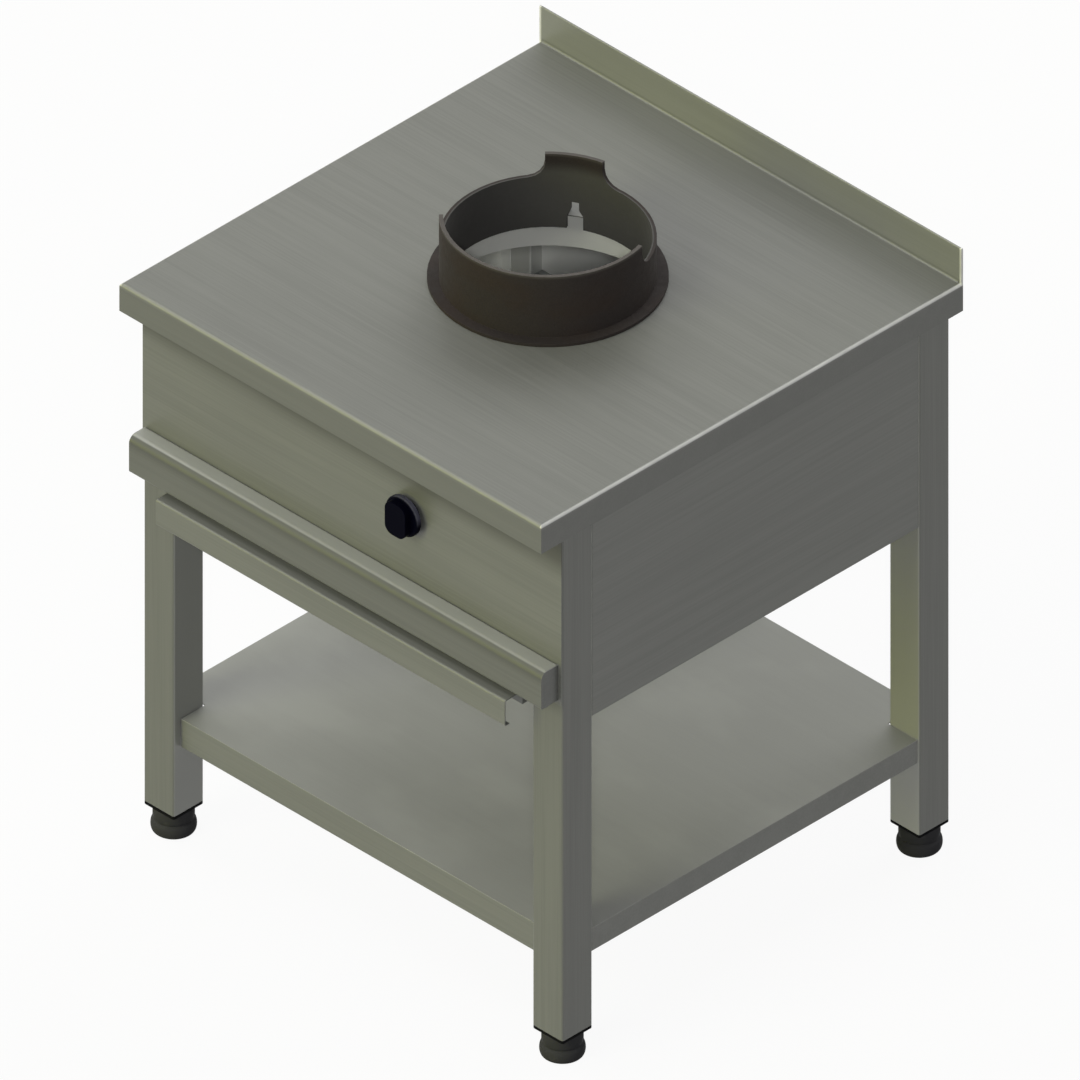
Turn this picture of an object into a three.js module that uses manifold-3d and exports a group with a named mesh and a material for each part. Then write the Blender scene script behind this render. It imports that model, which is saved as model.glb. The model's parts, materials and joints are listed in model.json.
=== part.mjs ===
// Free-standing gas wok range: one burner, an open lower shelf and a pull-out drip tray.
// Millimetres, +Z up, the front faces -Y. The origin is on the floor under the middle of the worktop.
import * as THREE from "three";
import { mergeVertices } from "three/addons/utils/BufferGeometryUtils.js";
import Module from "manifold-3d";

const wasm = await Module();
wasm.setup();

// ---- Driving dimensions: worktop -------------------------------------------------------------
const WIDTH = 700; // left to right
const DEPTH = 700; // front to back
const WORKTOP_HEIGHT = 800; // floor to the upper face
const RIM_HEIGHT = 40; // folded edge, top to bottom
const RIM_BEND = 5; // outer radius of the folded edge
const SPLASH_HEIGHT = 50; // upstand along the rear edge
const SPLASH_COVE = 3; // hollow radius where the upstand leaves the worktop
const RETURN_FLANGE = 15; // hem under the front and the rear rim
const SHEET = 1.5; // thickness of every folded sheet
const BEND = 1.5; // inner radius of the small folds
const GAP = 0.3; // clearance between pieces that touch

// ---- Driving dimensions: frame, panels and shelf ---------------------------------------------
const LEG_SIZE = 50;
const LEG_WALL = 2;
const LEG_CORNER = 3;
const LEG_SIDE_INSET = 2.5; // worktop side to leg side
const FRONT_OVERHANG = 36; // worktop front to apron front
const REAR_OVERHANG = 20; // worktop rear to the backs of the rear legs
const FRAME_TUBE = 30; // square tube of the upper frame
const FRAME_WALL = 2;
const CASE_DROP = 318; // worktop's upper face to the lower edge of the side and rear panels
const PANEL_RECESS = 1; // side panel behind the leg's outer face
const PANEL_FLANGE = 17;
const APRON_DROP = 278; // worktop's upper face to the apron's lower edge
const APRON_HEM = 12;
const HEM_END_INSET = 30; // the apron's lower hem stops short of the legs
const SHELF_TOP = 176;
const SHELF_RIM = 40;
const SHELF_SIDE_RIM = 33; // the rims between the legs at the sides are lower
const SHELF_SIDE_INSET = 5; // worktop side to shelf side
const SHELF_FRONT_SETBACK = 11; // leg front to shelf front
const SHELF_NOTCH_GAP = 1; // round each leg
const STIFFENER_WIDTH = 60;
const STIFFENER_HEIGHT = 28;
const STIFFENER_LIP = 12;
const SHELF_BRACKET = 28; // both flanges of the angle under the shelf
const SHELF_BRACKET_WIDTH = 30;
const SHELF_BRACKET_SHIFT = 5; // from the leg's middle towards the middle of the range
const BRACKET_THICKNESS = 3;

// ---- Driving dimensions: feet ----------------------------------------------------------------
const FOOT_HEIGHT = 35; // floor to the leg's plastic insert
const FOOT_NECK_RADIUS = 25;
const FOOT_BULGE_RADIUS = 27.5;
const FOOT_BASE_RADIUS = 25;
const FOOT_BULGE_TOP = 16;
const FOOT_SHOULDER = 20; // where the neck starts
const INSERT_FLANGE = 4;
const INSERT_LENGTH = 36; // plug inside the tube, from the flange
const STEM_RADIUS = 5;
const STEM_SEAT = 10; // floor to the bottom of the stem's socket
const STEM_PROUD = 1; // stem above the insert

// ---- Driving dimensions: guard rail and drip tray --------------------------------------------
const RAIL_END_INSET = 8; // worktop side to the rail's end
const RAIL_DEPTH = 28; // apron front to rail front
const RAIL_RISE = 6; // apron's lower edge to the rail's
const RAIL_HEIGHT = 52;
const RAIL_BEND = 9; // inner radius of the rail's upper front edge
const RAIL_LIP = 13;
const RAIL_LIP_UPTURN = 7;
const RAIL_FIXING_FLANGE = 34;
const TRAY_SIDE_PLAY = 6.2; // side flange to the runner's web
const TRAY_FLANGE = 15.5;
const TRAY_APRON_GAP = 3; // tray's top below the apron
const TRAY_RAISE = 2; // tray's floor above the lower edges of the panels
const TRAY_FRONT_WALL = 9; // behind the apron's front face
const TRAY_REAR_GAP = 8; // to the rear panel
const TRAY_LIP_HEM = 8;
const RUNNER_CLEARANCE = 1; // beside the tray's wall
const RUNNER_HEADROOM = 2; // above the tray's flange
const RUNNER_BEND = 0.5;

// ---- Driving dimensions: wok ring and hole -----------------------------------------------------
const BURNER_X = -2; // the burner's axis
const BURNER_Y = 13;
const RING_RADIUS = 128; // outside of the wall
const RING_WALL = 5;
const RING_FLANGE_WIDTH = 14;
const RING_FLANGE = 4.5;
const RING_HIGH = 91; // front part of the wall, above the worktop
const RING_LOW = 59; // side parts
const RING_SPIGOT = 14; // below the worktop's upper face
const RING_HIGH_START = 225; // degrees, anticlockwise from +X
const RING_HIGH_END = 375;
const RING_TAB_START = 103.5;
const RING_TAB_END = 136.5;
const RING_FILLET = 20;
const NOTCH_WIDE = 20; // lighting notch under the rear tab
const NOTCH_NARROW = 10;
const NOTCH_SHOULDER = 5; // above the worktop
const NOTCH_TAPER = 8;
const NOTCH_TOP = 24;
const HOLE_CLEARANCE = 2; // worktop hole round the spigot
const COLLAR_MARGIN = 16; // worktop hole to the inside of the collar
const COLLAR_DEPTH = 57; // below the worktop's upper face
const COLLAR_FLANGE = 14;

// ---- Driving dimensions: burner ----------------------------------------------------------------
const BURNER_DROP = 60; // worktop's upper face to the burner's top
const BURNER_RADIUS = 70;
const BURNER_WALL = 5;
const BURNER_HEIGHT = 43.4; // body without the cap
const CAP_THICKNESS = 9;
const CAP_SPIGOT = 6;
const CAP_BOSS_RADIUS = 22;
const CAP_BOSS_HEIGHT = 3;
const PORTS = 20;
const PORT_WIDTH = 3.2;
const PORT_DEPTH = 5;
const PORT_LENGTH = 12;
const TUBE_RADIUS = 17; // mixing tube, outside
const TUBE_WALL = 2;
const NECK_WALL = 4;
const NECK_LENGTH = 38; // burner's side to the end of the neck
const TUBE_OVERLAP = 24; // tube inside the neck
const TUBE_LENGTH = 118;
const TUBE_FLARE = 22;
const AIR_BOX_RADIUS = 26;
const AIR_BOX_LENGTH = 34;
const AIR_WINDOWS = 3;
const AIR_WINDOW_WIDTH = 24;
const AIR_WINDOW_LENGTH = 16;
const SHUTTER_WALL = 1.5;
const SHUTTER_LENGTH = 28;
const INJECTOR_RADIUS = 6;
const INJECTOR_TIP_RADIUS = 2.5;
const INJECTOR_LENGTH = 24;
const ELBOW_SIZE = 20;
const STRAP_WIDTH = 30;
const STRAP_THICKNESS = 3;
const STRAP_OFFSET = 45; // burner axis to the middle of a strap
const STRAP_BEND = 3;

// ---- Driving dimensions: gas train and knob ----------------------------------------------------
const KNOB_X = 94;
const KNOB_DROP = 126; // worktop's upper face to the knob's axis
const KNOB_RADIUS = 27;
const KNOB_SKIRT = 7;
const KNOB_DEPTH = 17;
const KNOB_GRIP_WIDTH = 34;
const KNOB_GRIP_CORNER = 12;
const KNOB_GRIP_INSET = 4; // grip's upper and lower side inside the skirt
const KNOB_STANDOFF = 4.5; // bezel to knob, room for the push
const KNOB_SOCKET = 12;
const KNOB_CHAMFER = 2; // round the front of its skirt
const BEZEL_INSET = 7; // bezel inside the knob's edge
const BEZEL_THICKNESS = 1.2;
const SPINDLE_RADIUS = 4;
const SPINDLE_CLEARANCE = 1.5;
const SPINDLE_TAIL = 2; // spindle behind the cup
const CUP_WALL = 4.2; // round the spindle's clearance
const CUP_LENGTH = 6;
const CUP_SETBACK = 6; // valve front to the cup
const VALVE_BORE_DEPTH = 19;
const VALVE_NOSE_WALL = 6.2; // round the cup's bore
const VALVE_NOSE = 20;
const VALVE_LENGTH = 58;
const VALVE_WIDTH = 28;
const VALVE_HEIGHT = 32;
const VALVE_PLATE_WIDTH = 76;
const VALVE_PLATE_HEIGHT = 56;
const VALVE_PLATE_FLANGE = 30;
const VALVE_PLATE = 2;
const VALVE_TAP_INSET = 12; // valve's rear to the middle of its side taps
const INLET_X = 250;
const INLET_DROP = 200; // worktop's upper face to the inlet's axis
const INLET_RADIUS = 10.5;
const INLET_BORE = 7.5;
const INLET_REACH = 44; // behind the rear panel
const INLET_INSIDE = 20; // in front of the rear panel
const INLET_HEX = 27; // across flats
const INLET_HEX_LENGTH = 9;
const SUPPLY_RADIUS = 7.5;
const SUPPLY_BEND = 24;
const FEED_RADIUS = 5;
const FEED_BEND = 12;
const THIN_BEND = 8; // of the pilot pipe and the thermocouple's lead
const PILOT_PIPE_RADIUS = 2;
const PILOT_TAP_OFFSET = 8; // knob's axis to the pilot tap, to the left
const PILOT_PIPE_RISE = 22; // burner straps to the pipe's high run
const PILOT_PIPE_RUN = 60; // high run, front to back
const PILOT_PIPE_END = 14; // burner straps to the pipe's low end
const PILOT_PIPE_LEVEL = 30; // level stretch in front of the pilot
const LEAD_RADIUS = 1.6;
const LEAD_TAP_OFFSET = 6; // knob's axis to the lead's socket, right and up
const LEAD_STRAIGHT = 30; // straight stretch behind the valve
const LEAD_CLEARANCE = 8; // in front of the strap
const LEAD_RISE = 10; // burner straps to the lead's low run
const PILOT_RADIUS = 5;
const PILOT_GAP = 15; // burner's side to the pilot's axis, to the right
const PILOT_HEIGHT = 48;
const PILOT_PLATE_HEIGHT = 26;
const PILOT_PLATE_REACH = 22;
const PILOT_PLATE_SIDE = 6; // half of its width
const PROBE_OFFSET = 14; // pilot to thermocouple, to the right
const PROBE_HEIGHT = 50;

// ---- Facets ------------------------------------------------------------------------------------
const BEND_STEPS = 4; // on a small fold
const EDGE_STEPS = 6; // on the worktop's edge and the rail
const BULGE_STEPS = 5; // on the side of a foot
const RING_SIDES = 60;
const ROUND_SIDES = 32;
const FOOT_SIDES = 24;
const SMALL_SIDES = 16;
const PIPE_SIDES = 8;
const SUPPLY_STEPS = 40; // along each pipe
const FEED_STEPS = 26;
const PILOT_STEPS = 30;
const LEAD_STEPS = 36;
const CUT = 1; // how far a cutter passes the face that it cuts

// ---- Places worked out from the sizes ----------------------------------------------------------
const LEFT = -WIDTH / 2;
const RIGHT = WIDTH / 2;
const FRONT = -DEPTH / 2;
const REAR = DEPTH / 2;
const WORKTOP_UNDER = WORKTOP_HEIGHT - SHEET;
const RIM_BOTTOM = WORKTOP_HEIGHT - RIM_HEIGHT;
const CARRIER_TOP = WORKTOP_UNDER - GAP; // top of what carries the worktop
const CASE_BOTTOM = WORKTOP_HEIGHT - CASE_DROP;
const APRON_BOTTOM = WORKTOP_HEIGHT - APRON_DROP;
const RAIL_BOTTOM = APRON_BOTTOM + RAIL_RISE;
const RAIL_TOP = RAIL_BOTTOM + RAIL_HEIGHT;
const APRON_FRONT = FRONT + FRONT_OVERHANG;
const APRON_BACK = APRON_FRONT + SHEET;
const LEG_X = RIGHT - LEG_SIDE_INSET - LEG_SIZE / 2;
const LEG_INNER_X = LEG_X - LEG_SIZE / 2;
const LEG_OUTER_X = LEG_X + LEG_SIZE / 2;
const LEG_FRONT_Y = APRON_BACK + GAP + LEG_SIZE / 2;
const LEG_REAR_Y = REAR - REAR_OVERHANG - LEG_SIZE / 2;
const INSERT_FLANGE_TOP = FOOT_HEIGHT + INSERT_FLANGE;
const INSERT_TOP = INSERT_FLANGE_TOP + INSERT_LENGTH;
const LEG_BOTTOM = INSERT_FLANGE_TOP + GAP;
const BAY_FRONT = LEG_FRONT_Y + LEG_SIZE / 2 + GAP; // between the front and the rear legs
const BAY_REAR = LEG_REAR_Y - LEG_SIZE / 2 - GAP;
const BAY_SIDE = LEG_INNER_X - GAP; // between the left and the right legs
const FRAME_BOTTOM = CARRIER_TOP - FRAME_TUBE;
const PANEL_OUTER_X = LEG_OUTER_X - PANEL_RECESS;
const PANEL_INNER_X = PANEL_OUTER_X - SHEET;
const SIDE_RAIL_X = PANEL_INNER_X - GAP - FRAME_TUBE / 2;
const REAR_RAIL_Y = REAR - REAR_OVERHANG - FRAME_TUBE / 2;
const FRONT_RAIL_Y = APRON_BACK + GAP + FRAME_TUBE / 2;
const REAR_PANEL_BACK = REAR_RAIL_Y - FRAME_TUBE / 2 - GAP;
const REAR_PANEL_FRONT = REAR_PANEL_BACK - SHEET;
const EDGE_TOP = CARRIER_TOP - (RIM_BEND - SHEET); // clears the fold inside the rim
const SHELF_FRONT = APRON_BACK + GAP + SHELF_FRONT_SETBACK;
const SHELF_REAR = REAR - REAR_OVERHANG;
const SHELF_SIDE = RIGHT - SHELF_SIDE_INSET;
const SHELF_UNDER = SHELF_TOP - SHEET;
const TRAY_TOP = APRON_BOTTOM - TRAY_APRON_GAP;
const TRAY_BOTTOM = CASE_BOTTOM + TRAY_RAISE;
const TRAY_SIDE = BAY_SIDE - SHEET - TRAY_SIDE_PLAY;
const TRAY_WALL_X = TRAY_SIDE - TRAY_FLANGE;
const TRAY_WALL_FRONT = APRON_FRONT + TRAY_FRONT_WALL;
const TRAY_WALL_REAR = REAR_PANEL_FRONT - TRAY_REAR_GAP;
const TRAY_FLANGE_UNDER = TRAY_TOP - SHEET;
const HOLE_RADIUS = RING_RADIUS + HOLE_CLEARANCE;
const RING_FLANGE_RADIUS = RING_RADIUS + RING_FLANGE_WIDTH;
const COLLAR_RADIUS = HOLE_RADIUS + COLLAR_MARGIN;
const STRAP_X = SIDE_RAIL_X - FRAME_TUBE / 2 - GAP; // a strap's outer face
const BURNER_TOP = WORKTOP_HEIGHT - BURNER_DROP;
const BODY_TOP = BURNER_TOP - CAP_THICKNESS - GAP;
const BODY_BOTTOM = BODY_TOP - BURNER_HEIGHT;
const STRAP_TOP = BODY_BOTTOM - GAP;
const NECK_Z = BODY_BOTTOM + BURNER_HEIGHT / 2;
const NECK_REACH = BURNER_RADIUS + NECK_LENGTH;
const TUBE_REAR = -NECK_REACH + TUBE_OVERLAP; // along Y, from the burner's axis
const AIR_BOX_REAR = TUBE_REAR - TUBE_LENGTH;
const AIR_BOX_FRONT = AIR_BOX_REAR - AIR_BOX_LENGTH;
const AIR_MIDDLE = (AIR_BOX_REAR + AIR_BOX_FRONT) / 2;
const ELBOW_FRONT = AIR_BOX_FRONT - INJECTOR_LENGTH / 2 - GAP - ELBOW_SIZE;
const KNOB_Z = WORKTOP_HEIGHT - KNOB_DROP;
const INLET_Z = WORKTOP_HEIGHT - INLET_DROP;
const PLATE_BACK = APRON_BACK + GAP + VALVE_PLATE;
const VALVE_FRONT = PLATE_BACK + GAP;
const VALVE_REAR = VALVE_FRONT + VALVE_LENGTH;
const VALVE_TAP_Y = VALVE_REAR - VALVE_TAP_INSET;
const CUP_RADIUS = SPINDLE_RADIUS + GAP + CUP_WALL;
const VALVE_NOSE_RADIUS = CUP_RADIUS + GAP + VALVE_NOSE_WALL;
const BEZEL_RADIUS = KNOB_RADIUS - BEZEL_INSET;
const BEZEL_FRONT = APRON_FRONT - GAP - BEZEL_THICKNESS;
const KNOB_BACK = BEZEL_FRONT - KNOB_STANDOFF;
const KNOB_FRONT = KNOB_BACK - KNOB_DEPTH;
const PILOT_X = BURNER_X + BURNER_RADIUS + PILOT_GAP;
const PILOT_Y = BURNER_Y - STRAP_OFFSET;

// ---- Finishes ------------------------------------------------------------------------------------
function finish(color, roughness, metalness) {
  return new THREE.MeshStandardMaterial({ color, roughness, metalness });
}
const steel = () => finish(0x85867f, 0.4, 0.9);
const steelTube = () => finish(0x767862, 0.45, 0.9);
const castIron = () => finish(0x302c29, 0.8, 0.4);
const brass = () => finish(0xb08d45, 0.35, 0.9);
const copper = () => finish(0xb0704a, 0.35, 0.9);
const zincSteel = () => finish(0x9a9c9c, 0.4, 0.9);
const blackPlastic = () => finish(0x08080c, 0.4, 0);
const greyPlastic = () => finish(0x39393b, 0.6, 0);

// ---- Solids --------------------------------------------------------------------------------------

// A closed three.js geometry as a solid that can be joined and cut.
function toSolid(geometry) {
  geometry.deleteAttribute("normal");
  geometry.deleteAttribute("uv");
  const merged = mergeVertices(geometry, 1e-4);
  const index = merged.index.array;
  const triVerts = [];
  for (let i = 0; i < index.length; i += 3) {
    const [a, b, c] = index.slice(i, i + 3);
    if (a !== b && b !== c && c !== a) triVerts.push(a, b, c);
  }
  const vertProperties = merged.attributes.position.array;
  return new wasm.Manifold(
    new wasm.Mesh({ numProp: 3, vertProperties, triVerts: new Uint32Array(triVerts) }),
  );
}

// A named mesh of a solid, with a material of its own.
function part(name, solid, material) {
  const { vertProperties, triVerts } = solid.getMesh();
  const geometry = new THREE.BufferGeometry();
  geometry.setAttribute("position", new THREE.BufferAttribute(vertProperties, 3));
  geometry.setIndex(new THREE.BufferAttribute(triVerts, 1));
  geometry.computeVertexNormals();
  const mesh = new THREE.Mesh(geometry, material);
  mesh.name = name;
  return mesh;
}

function placed(mesh, x, y, z) {
  mesh.position.set(x, y, z);
  return mesh;
}

function join(solids) {
  return solids.reduce((sum, solid) => sum.add(solid));
}

function cut(solid, cutters) {
  return cutters.reduce((rest, cutter) => rest.subtract(cutter), solid);
}

// A box between two corners given axis by axis, in either order.
function box(xs, ys, zs) {
  const size = [xs, ys, zs].map(([a, b]) => Math.abs(b - a));
  const middle = [xs, ys, zs].map(([a, b]) => (a + b) / 2);
  const geometry = new THREE.BoxGeometry(...size);
  geometry.translate(...middle);
  return toSolid(geometry);
}

// An arc in a shape gets two facets for each of its curve segments.
function extrude(shape, length, steps, matrix) {
  const settings = { depth: length, bevelEnabled: false, curveSegments: steps / 2 };
  const geometry = new THREE.ExtrudeGeometry(shape, settings);
  geometry.applyMatrix4(matrix);
  return toSolid(geometry);
}

// A shape drawn in (y, z), pulled along X.
function alongX(shape, [from, to], steps = BEND_STEPS) {
  const matrix = new THREE.Matrix4().set(0, 0, 1, from, 1, 0, 0, 0, 0, 1, 0, 0, 0, 0, 0, 1);
  return extrude(shape, to - from, steps, matrix);
}

// A shape drawn in (x, z), pulled along Y.
function alongY(shape, [from, to], steps = BEND_STEPS) {
  const matrix = new THREE.Matrix4().set(1, 0, 0, 0, 0, 0, -1, to, 0, 1, 0, 0, 0, 0, 0, 1);
  return extrude(shape, to - from, steps, matrix);
}

// A shape drawn in (x, y), pulled along Z.
function alongZ(shape, [from, to], steps = BEND_STEPS) {
  return extrude(shape, to - from, steps, new THREE.Matrix4().makeTranslation(0, 0, from));
}

// A closed profile of [radius, height] points, turned round Z.
function turned(profile, sides) {
  const area = profile.reduce((sum, [r, z], i) => {
    const [r2, z2] = profile[(i + 1) % profile.length];
    return sum + r * z2 - r2 * z;
  }, 0);
  const ordered = area > 0 ? profile : [...profile].reverse();
  const points = [...ordered, ordered[0]].map(([r, z]) => new THREE.Vector2(r, z));
  const geometry = new THREE.LatheGeometry(points, sides);
  geometry.rotateX(Math.PI / 2);
  return toSolid(geometry);
}

// A closed profile of [radius, y] points, turned round Y.
function turnedY(profile, sides) {
  const flipped = profile.map(([r, y]) => [r, -y]);
  return turned(flipped, sides).rotate([90, 0, 0]);
}

function rodZ(radius, [from, to], sides = SMALL_SIDES) {
  const geometry = new THREE.CylinderGeometry(radius, radius, to - from, sides);
  geometry.rotateX(Math.PI / 2);
  geometry.translate(0, 0, (from + to) / 2);
  return toSolid(geometry);
}

function rodY([x, z], radius, [from, to], sides = SMALL_SIDES) {
  const geometry = new THREE.CylinderGeometry(radius, radius, to - from, sides);
  geometry.translate(x, (from + to) / 2, z);
  return toSolid(geometry);
}

// A rectangle whose two upper corners are rounded.
function hood([u0, u1], [v0, v1], leftRadius, rightRadius) {
  const shape = new THREE.Shape();
  shape.moveTo(u0, v0);
  shape.lineTo(u1, v0);
  shape.lineTo(u1, v1 - rightRadius);
  if (rightRadius > 0) shape.absarc(u1 - rightRadius, v1 - rightRadius, rightRadius, 0, Math.PI / 2);
  shape.lineTo(u0 + leftRadius, v1);
  if (leftRadius > 0) shape.absarc(u0 + leftRadius, v1 - leftRadius, leftRadius, Math.PI / 2, Math.PI);
  return shape;
}

function roundedRectangle(width, height, radius) {
  const shape = new THREE.Shape();
  for (let quarter = 0; quarter < 4; quarter++) {
    const start = (quarter * Math.PI) / 2;
    const u = (width / 2 - radius) * (quarter === 0 || quarter === 3 ? 1 : -1);
    const v = (height / 2 - radius) * (quarter < 2 ? 1 : -1);
    shape.absarc(u, v, radius, start, start + Math.PI / 2);
  }
  return shape;
}

function polygon(points) {
  return new THREE.Shape(points.map(([u, v]) => new THREE.Vector2(u, v)));
}

// The outline of a folded strip. Each corner of its middle line is [u, v] or [u, v, inner radius].
function folded(corners, thickness = SHEET, steps = BEND_STEPS) {
  const line = corners.map(([u, v]) => new THREE.Vector2(u, v));
  const last = line.length - 1;
  const left = [];
  const right = [];
  const put = (centre, normal, radius) => {
    left.push(centre.clone().addScaledVector(normal, thickness / 2 - radius));
    right.push(centre.clone().addScaledVector(normal, -thickness / 2 - radius));
  };
  for (let i = 0; i <= last; i++) {
    const before = line[Math.max(i, 1)].clone().sub(line[Math.max(i, 1) - 1]).normalize();
    const next = Math.min(i + 1, last);
    const after = line[next].clone().sub(line[next - 1]).normalize();
    const turn = Math.atan2(before.cross(after), before.dot(after));
    const normal = new THREE.Vector2(-before.y, before.x);
    if (i === 0 || i === last) {
      put(line[i], normal, 0);
      continue;
    }
    const radius = (corners[i][2] ?? BEND) + thickness / 2;
    const side = Math.sign(turn);
    const centre = line[i].clone();
    centre.addScaledVector(before, -radius * Math.tan(Math.abs(turn) / 2));
    centre.addScaledVector(normal, side * radius);
    for (let step = 0; step <= steps; step++) {
      const angle = (turn * step) / steps;
      const swung = normal.clone().rotateAround(new THREE.Vector2(), angle);
      put(centre, swung, side * radius);
    }
  }
  return new THREE.Shape([...left, ...right.reverse()]);
}

// A round pipe along straight runs with rounded corners.
function pipe(points, radius, bend, steps) {
  const corners = points.map((p) => new THREE.Vector3(...p));
  const route = new THREE.CurvePath();
  let start = corners[0];
  for (let i = 1; i < corners.length - 1; i++) {
    const towards = corners[i].clone().sub(corners[i - 1]).normalize();
    const away = corners[i + 1].clone().sub(corners[i]).normalize();
    const entry = corners[i].clone().addScaledVector(towards, -bend);
    const exit = corners[i].clone().addScaledVector(away, bend);
    route.add(new THREE.LineCurve3(start, entry));
    route.add(new THREE.QuadraticBezierCurve3(entry, corners[i], exit));
    start = exit;
  }
  route.add(new THREE.LineCurve3(start, corners[corners.length - 1]));
  const section = new THREE.Shape();
  section.absarc(0, 0, radius, 0, 2 * Math.PI);
  const settings = { steps, bevelEnabled: false, curveSegments: PIPE_SIDES / 2, extrudePath: route };
  return toSolid(new THREE.ExtrudeGeometry(section, settings));
}

// ---- Worktop -------------------------------------------------------------------------------------

// The block inside the worktop's folded edges, drawn in by a margin on every face but the lowest.
function worktopBlock(margin) {
  const bend = RIM_BEND - margin;
  const heights = [RIM_BOTTOM - (margin > 0 ? CUT : 0), WORKTOP_HEIGHT - margin];
  const across = hood([LEFT + margin, RIGHT - margin], heights, bend, bend);
  const along = hood([FRONT + margin, REAR - margin], heights, bend, 0);
  const widths = [LEFT + margin, RIGHT - margin];
  const depths = [FRONT + margin, REAR - margin];
  return alongY(across, depths, EDGE_STEPS).intersect(alongX(along, widths, EDGE_STEPS));
}

function worktop() {
  const shell = worktopBlock(0).subtract(worktopBlock(SHEET));
  const splashFront = REAR - 2 * SHEET;
  const splashHeights = [WORKTOP_HEIGHT - RIM_BEND, WORKTOP_HEIGHT + SPLASH_HEIGHT];
  const splash = alongX(hood([splashFront, REAR], splashHeights, SHEET, SHEET), [LEFT, RIGHT]);
  const cove = new THREE.Shape();
  cove.moveTo(splashFront + SHEET, WORKTOP_UNDER);
  cove.lineTo(splashFront + SHEET, WORKTOP_HEIGHT + SPLASH_COVE);
  cove.lineTo(splashFront, WORKTOP_HEIGHT + SPLASH_COVE);
  const coveY = splashFront - SPLASH_COVE;
  cove.absarc(coveY, WORKTOP_HEIGHT + SPLASH_COVE, SPLASH_COVE, 0, -Math.PI / 2, true);
  cove.lineTo(coveY, WORKTOP_UNDER);
  const hemZ = [RIM_BOTTOM, RIM_BOTTOM + SHEET];
  const hemX = [LEFT + SHEET / 2, RIGHT - SHEET / 2];
  const folds = [
    splash,
    alongX(cove, [LEFT + RIM_BEND, RIGHT - RIM_BEND]),
    box(hemX, [FRONT + SHEET / 2, FRONT + RETURN_FLANGE], hemZ),
    box(hemX, [REAR - SHEET / 2, REAR - RETURN_FLANGE], hemZ),
  ];
  const holeZ = [WORKTOP_UNDER - CUT, WORKTOP_HEIGHT + CUT];
  const hole = rodZ(HOLE_RADIUS, holeZ, RING_SIDES);
  const placedHole = hole.translate([BURNER_X, BURNER_Y, 0]);
  return part("worktop", join([shell, ...folds]).subtract(placedHole), steel());
}

// Steel collar that hangs round the hole under the worktop, built round its own axis.
function holeCollar() {
  const bottom = WORKTOP_HEIGHT - COLLAR_DEPTH;
  const profile = [
    [COLLAR_RADIUS, bottom],
    [COLLAR_RADIUS + SHEET, bottom],
    [COLLAR_RADIUS + SHEET, CARRIER_TOP - SHEET],
    [COLLAR_RADIUS + COLLAR_FLANGE, CARRIER_TOP - SHEET],
    [COLLAR_RADIUS + COLLAR_FLANGE, CARRIER_TOP],
    [COLLAR_RADIUS, CARRIER_TOP],
  ];
  return part("hole_collar", turned(profile, RING_SIDES), steel());
}

// ---- Frame and feet ------------------------------------------------------------------------------

// Name, x, y and the direction from the leg to the middle of the range, for each corner.
const CORNERS = [
  ["front_left", -LEG_X, LEG_FRONT_Y, 1],
  ["front_right", LEG_X, LEG_FRONT_Y, -1],
  ["rear_left", -LEG_X, LEG_REAR_Y, 1],
  ["rear_right", LEG_X, LEG_REAR_Y, -1],
];

function leg(corner, x, y) {
  const section = roundedRectangle(LEG_SIZE, LEG_SIZE, LEG_CORNER);
  const inside = LEG_SIZE - 2 * LEG_WALL;
  section.holes.push(roundedRectangle(inside, inside, LEG_CORNER - LEG_WALL));
  const tube = alongZ(section, [LEG_BOTTOM, EDGE_TOP]);
  return placed(part("leg_" + corner, tube, steelTube()), x, y, 0);
}

// Plastic plug in the leg's lower end, bored for the foot's stem.
function footInsert(corner, x, y) {
  const inside = LEG_SIZE - 2 * LEG_WALL - 2 * GAP;
  const outline = roundedRectangle(LEG_SIZE, LEG_SIZE, LEG_CORNER);
  const flange = alongZ(outline, [FOOT_HEIGHT, INSERT_FLANGE_TOP]);
  const plug = roundedRectangle(inside, inside, LEG_CORNER - LEG_WALL - GAP);
  const body = flange.add(alongZ(plug, [FOOT_HEIGHT + CUT, INSERT_TOP]));
  const bore = rodZ(STEM_RADIUS + GAP, [FOOT_HEIGHT - CUT, INSERT_TOP + CUT]);
  return placed(part("insert_" + corner, body.subtract(bore), blackPlastic()), x, y, 0);
}

function footStem(corner, x, y) {
  const stem = rodZ(STEM_RADIUS, [STEM_SEAT + GAP, INSERT_TOP + STEM_PROUD]);
  return placed(part("foot_stem_" + corner, stem, zincSteel()), x, y, 0);
}

// Round foot: a straight neck over a bulge that draws in again at the floor.
function footPad(corner, x, y) {
  const top = FOOT_HEIGHT - GAP;
  const profile = [
    [0, 0],
    [FOOT_BASE_RADIUS, 0],
  ];
  const middle = FOOT_BULGE_TOP / 2;
  const bulge = FOOT_BULGE_RADIUS - FOOT_BASE_RADIUS;
  for (let step = 1; step < BULGE_STEPS; step++) {
    const angle = (Math.PI * step) / BULGE_STEPS - Math.PI / 2;
    profile.push([FOOT_BASE_RADIUS + bulge * Math.cos(angle), middle + middle * Math.sin(angle)]);
  }
  profile.push([FOOT_NECK_RADIUS, FOOT_SHOULDER]);
  profile.push([FOOT_NECK_RADIUS, top]);
  profile.push([STEM_RADIUS + GAP, top]);
  profile.push([STEM_RADIUS + GAP, STEM_SEAT]);
  profile.push([0, STEM_SEAT]);
  return placed(part("foot_pad_" + corner, turned(profile, FOOT_SIDES), greyPlastic()), x, y, 0);
}

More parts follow.
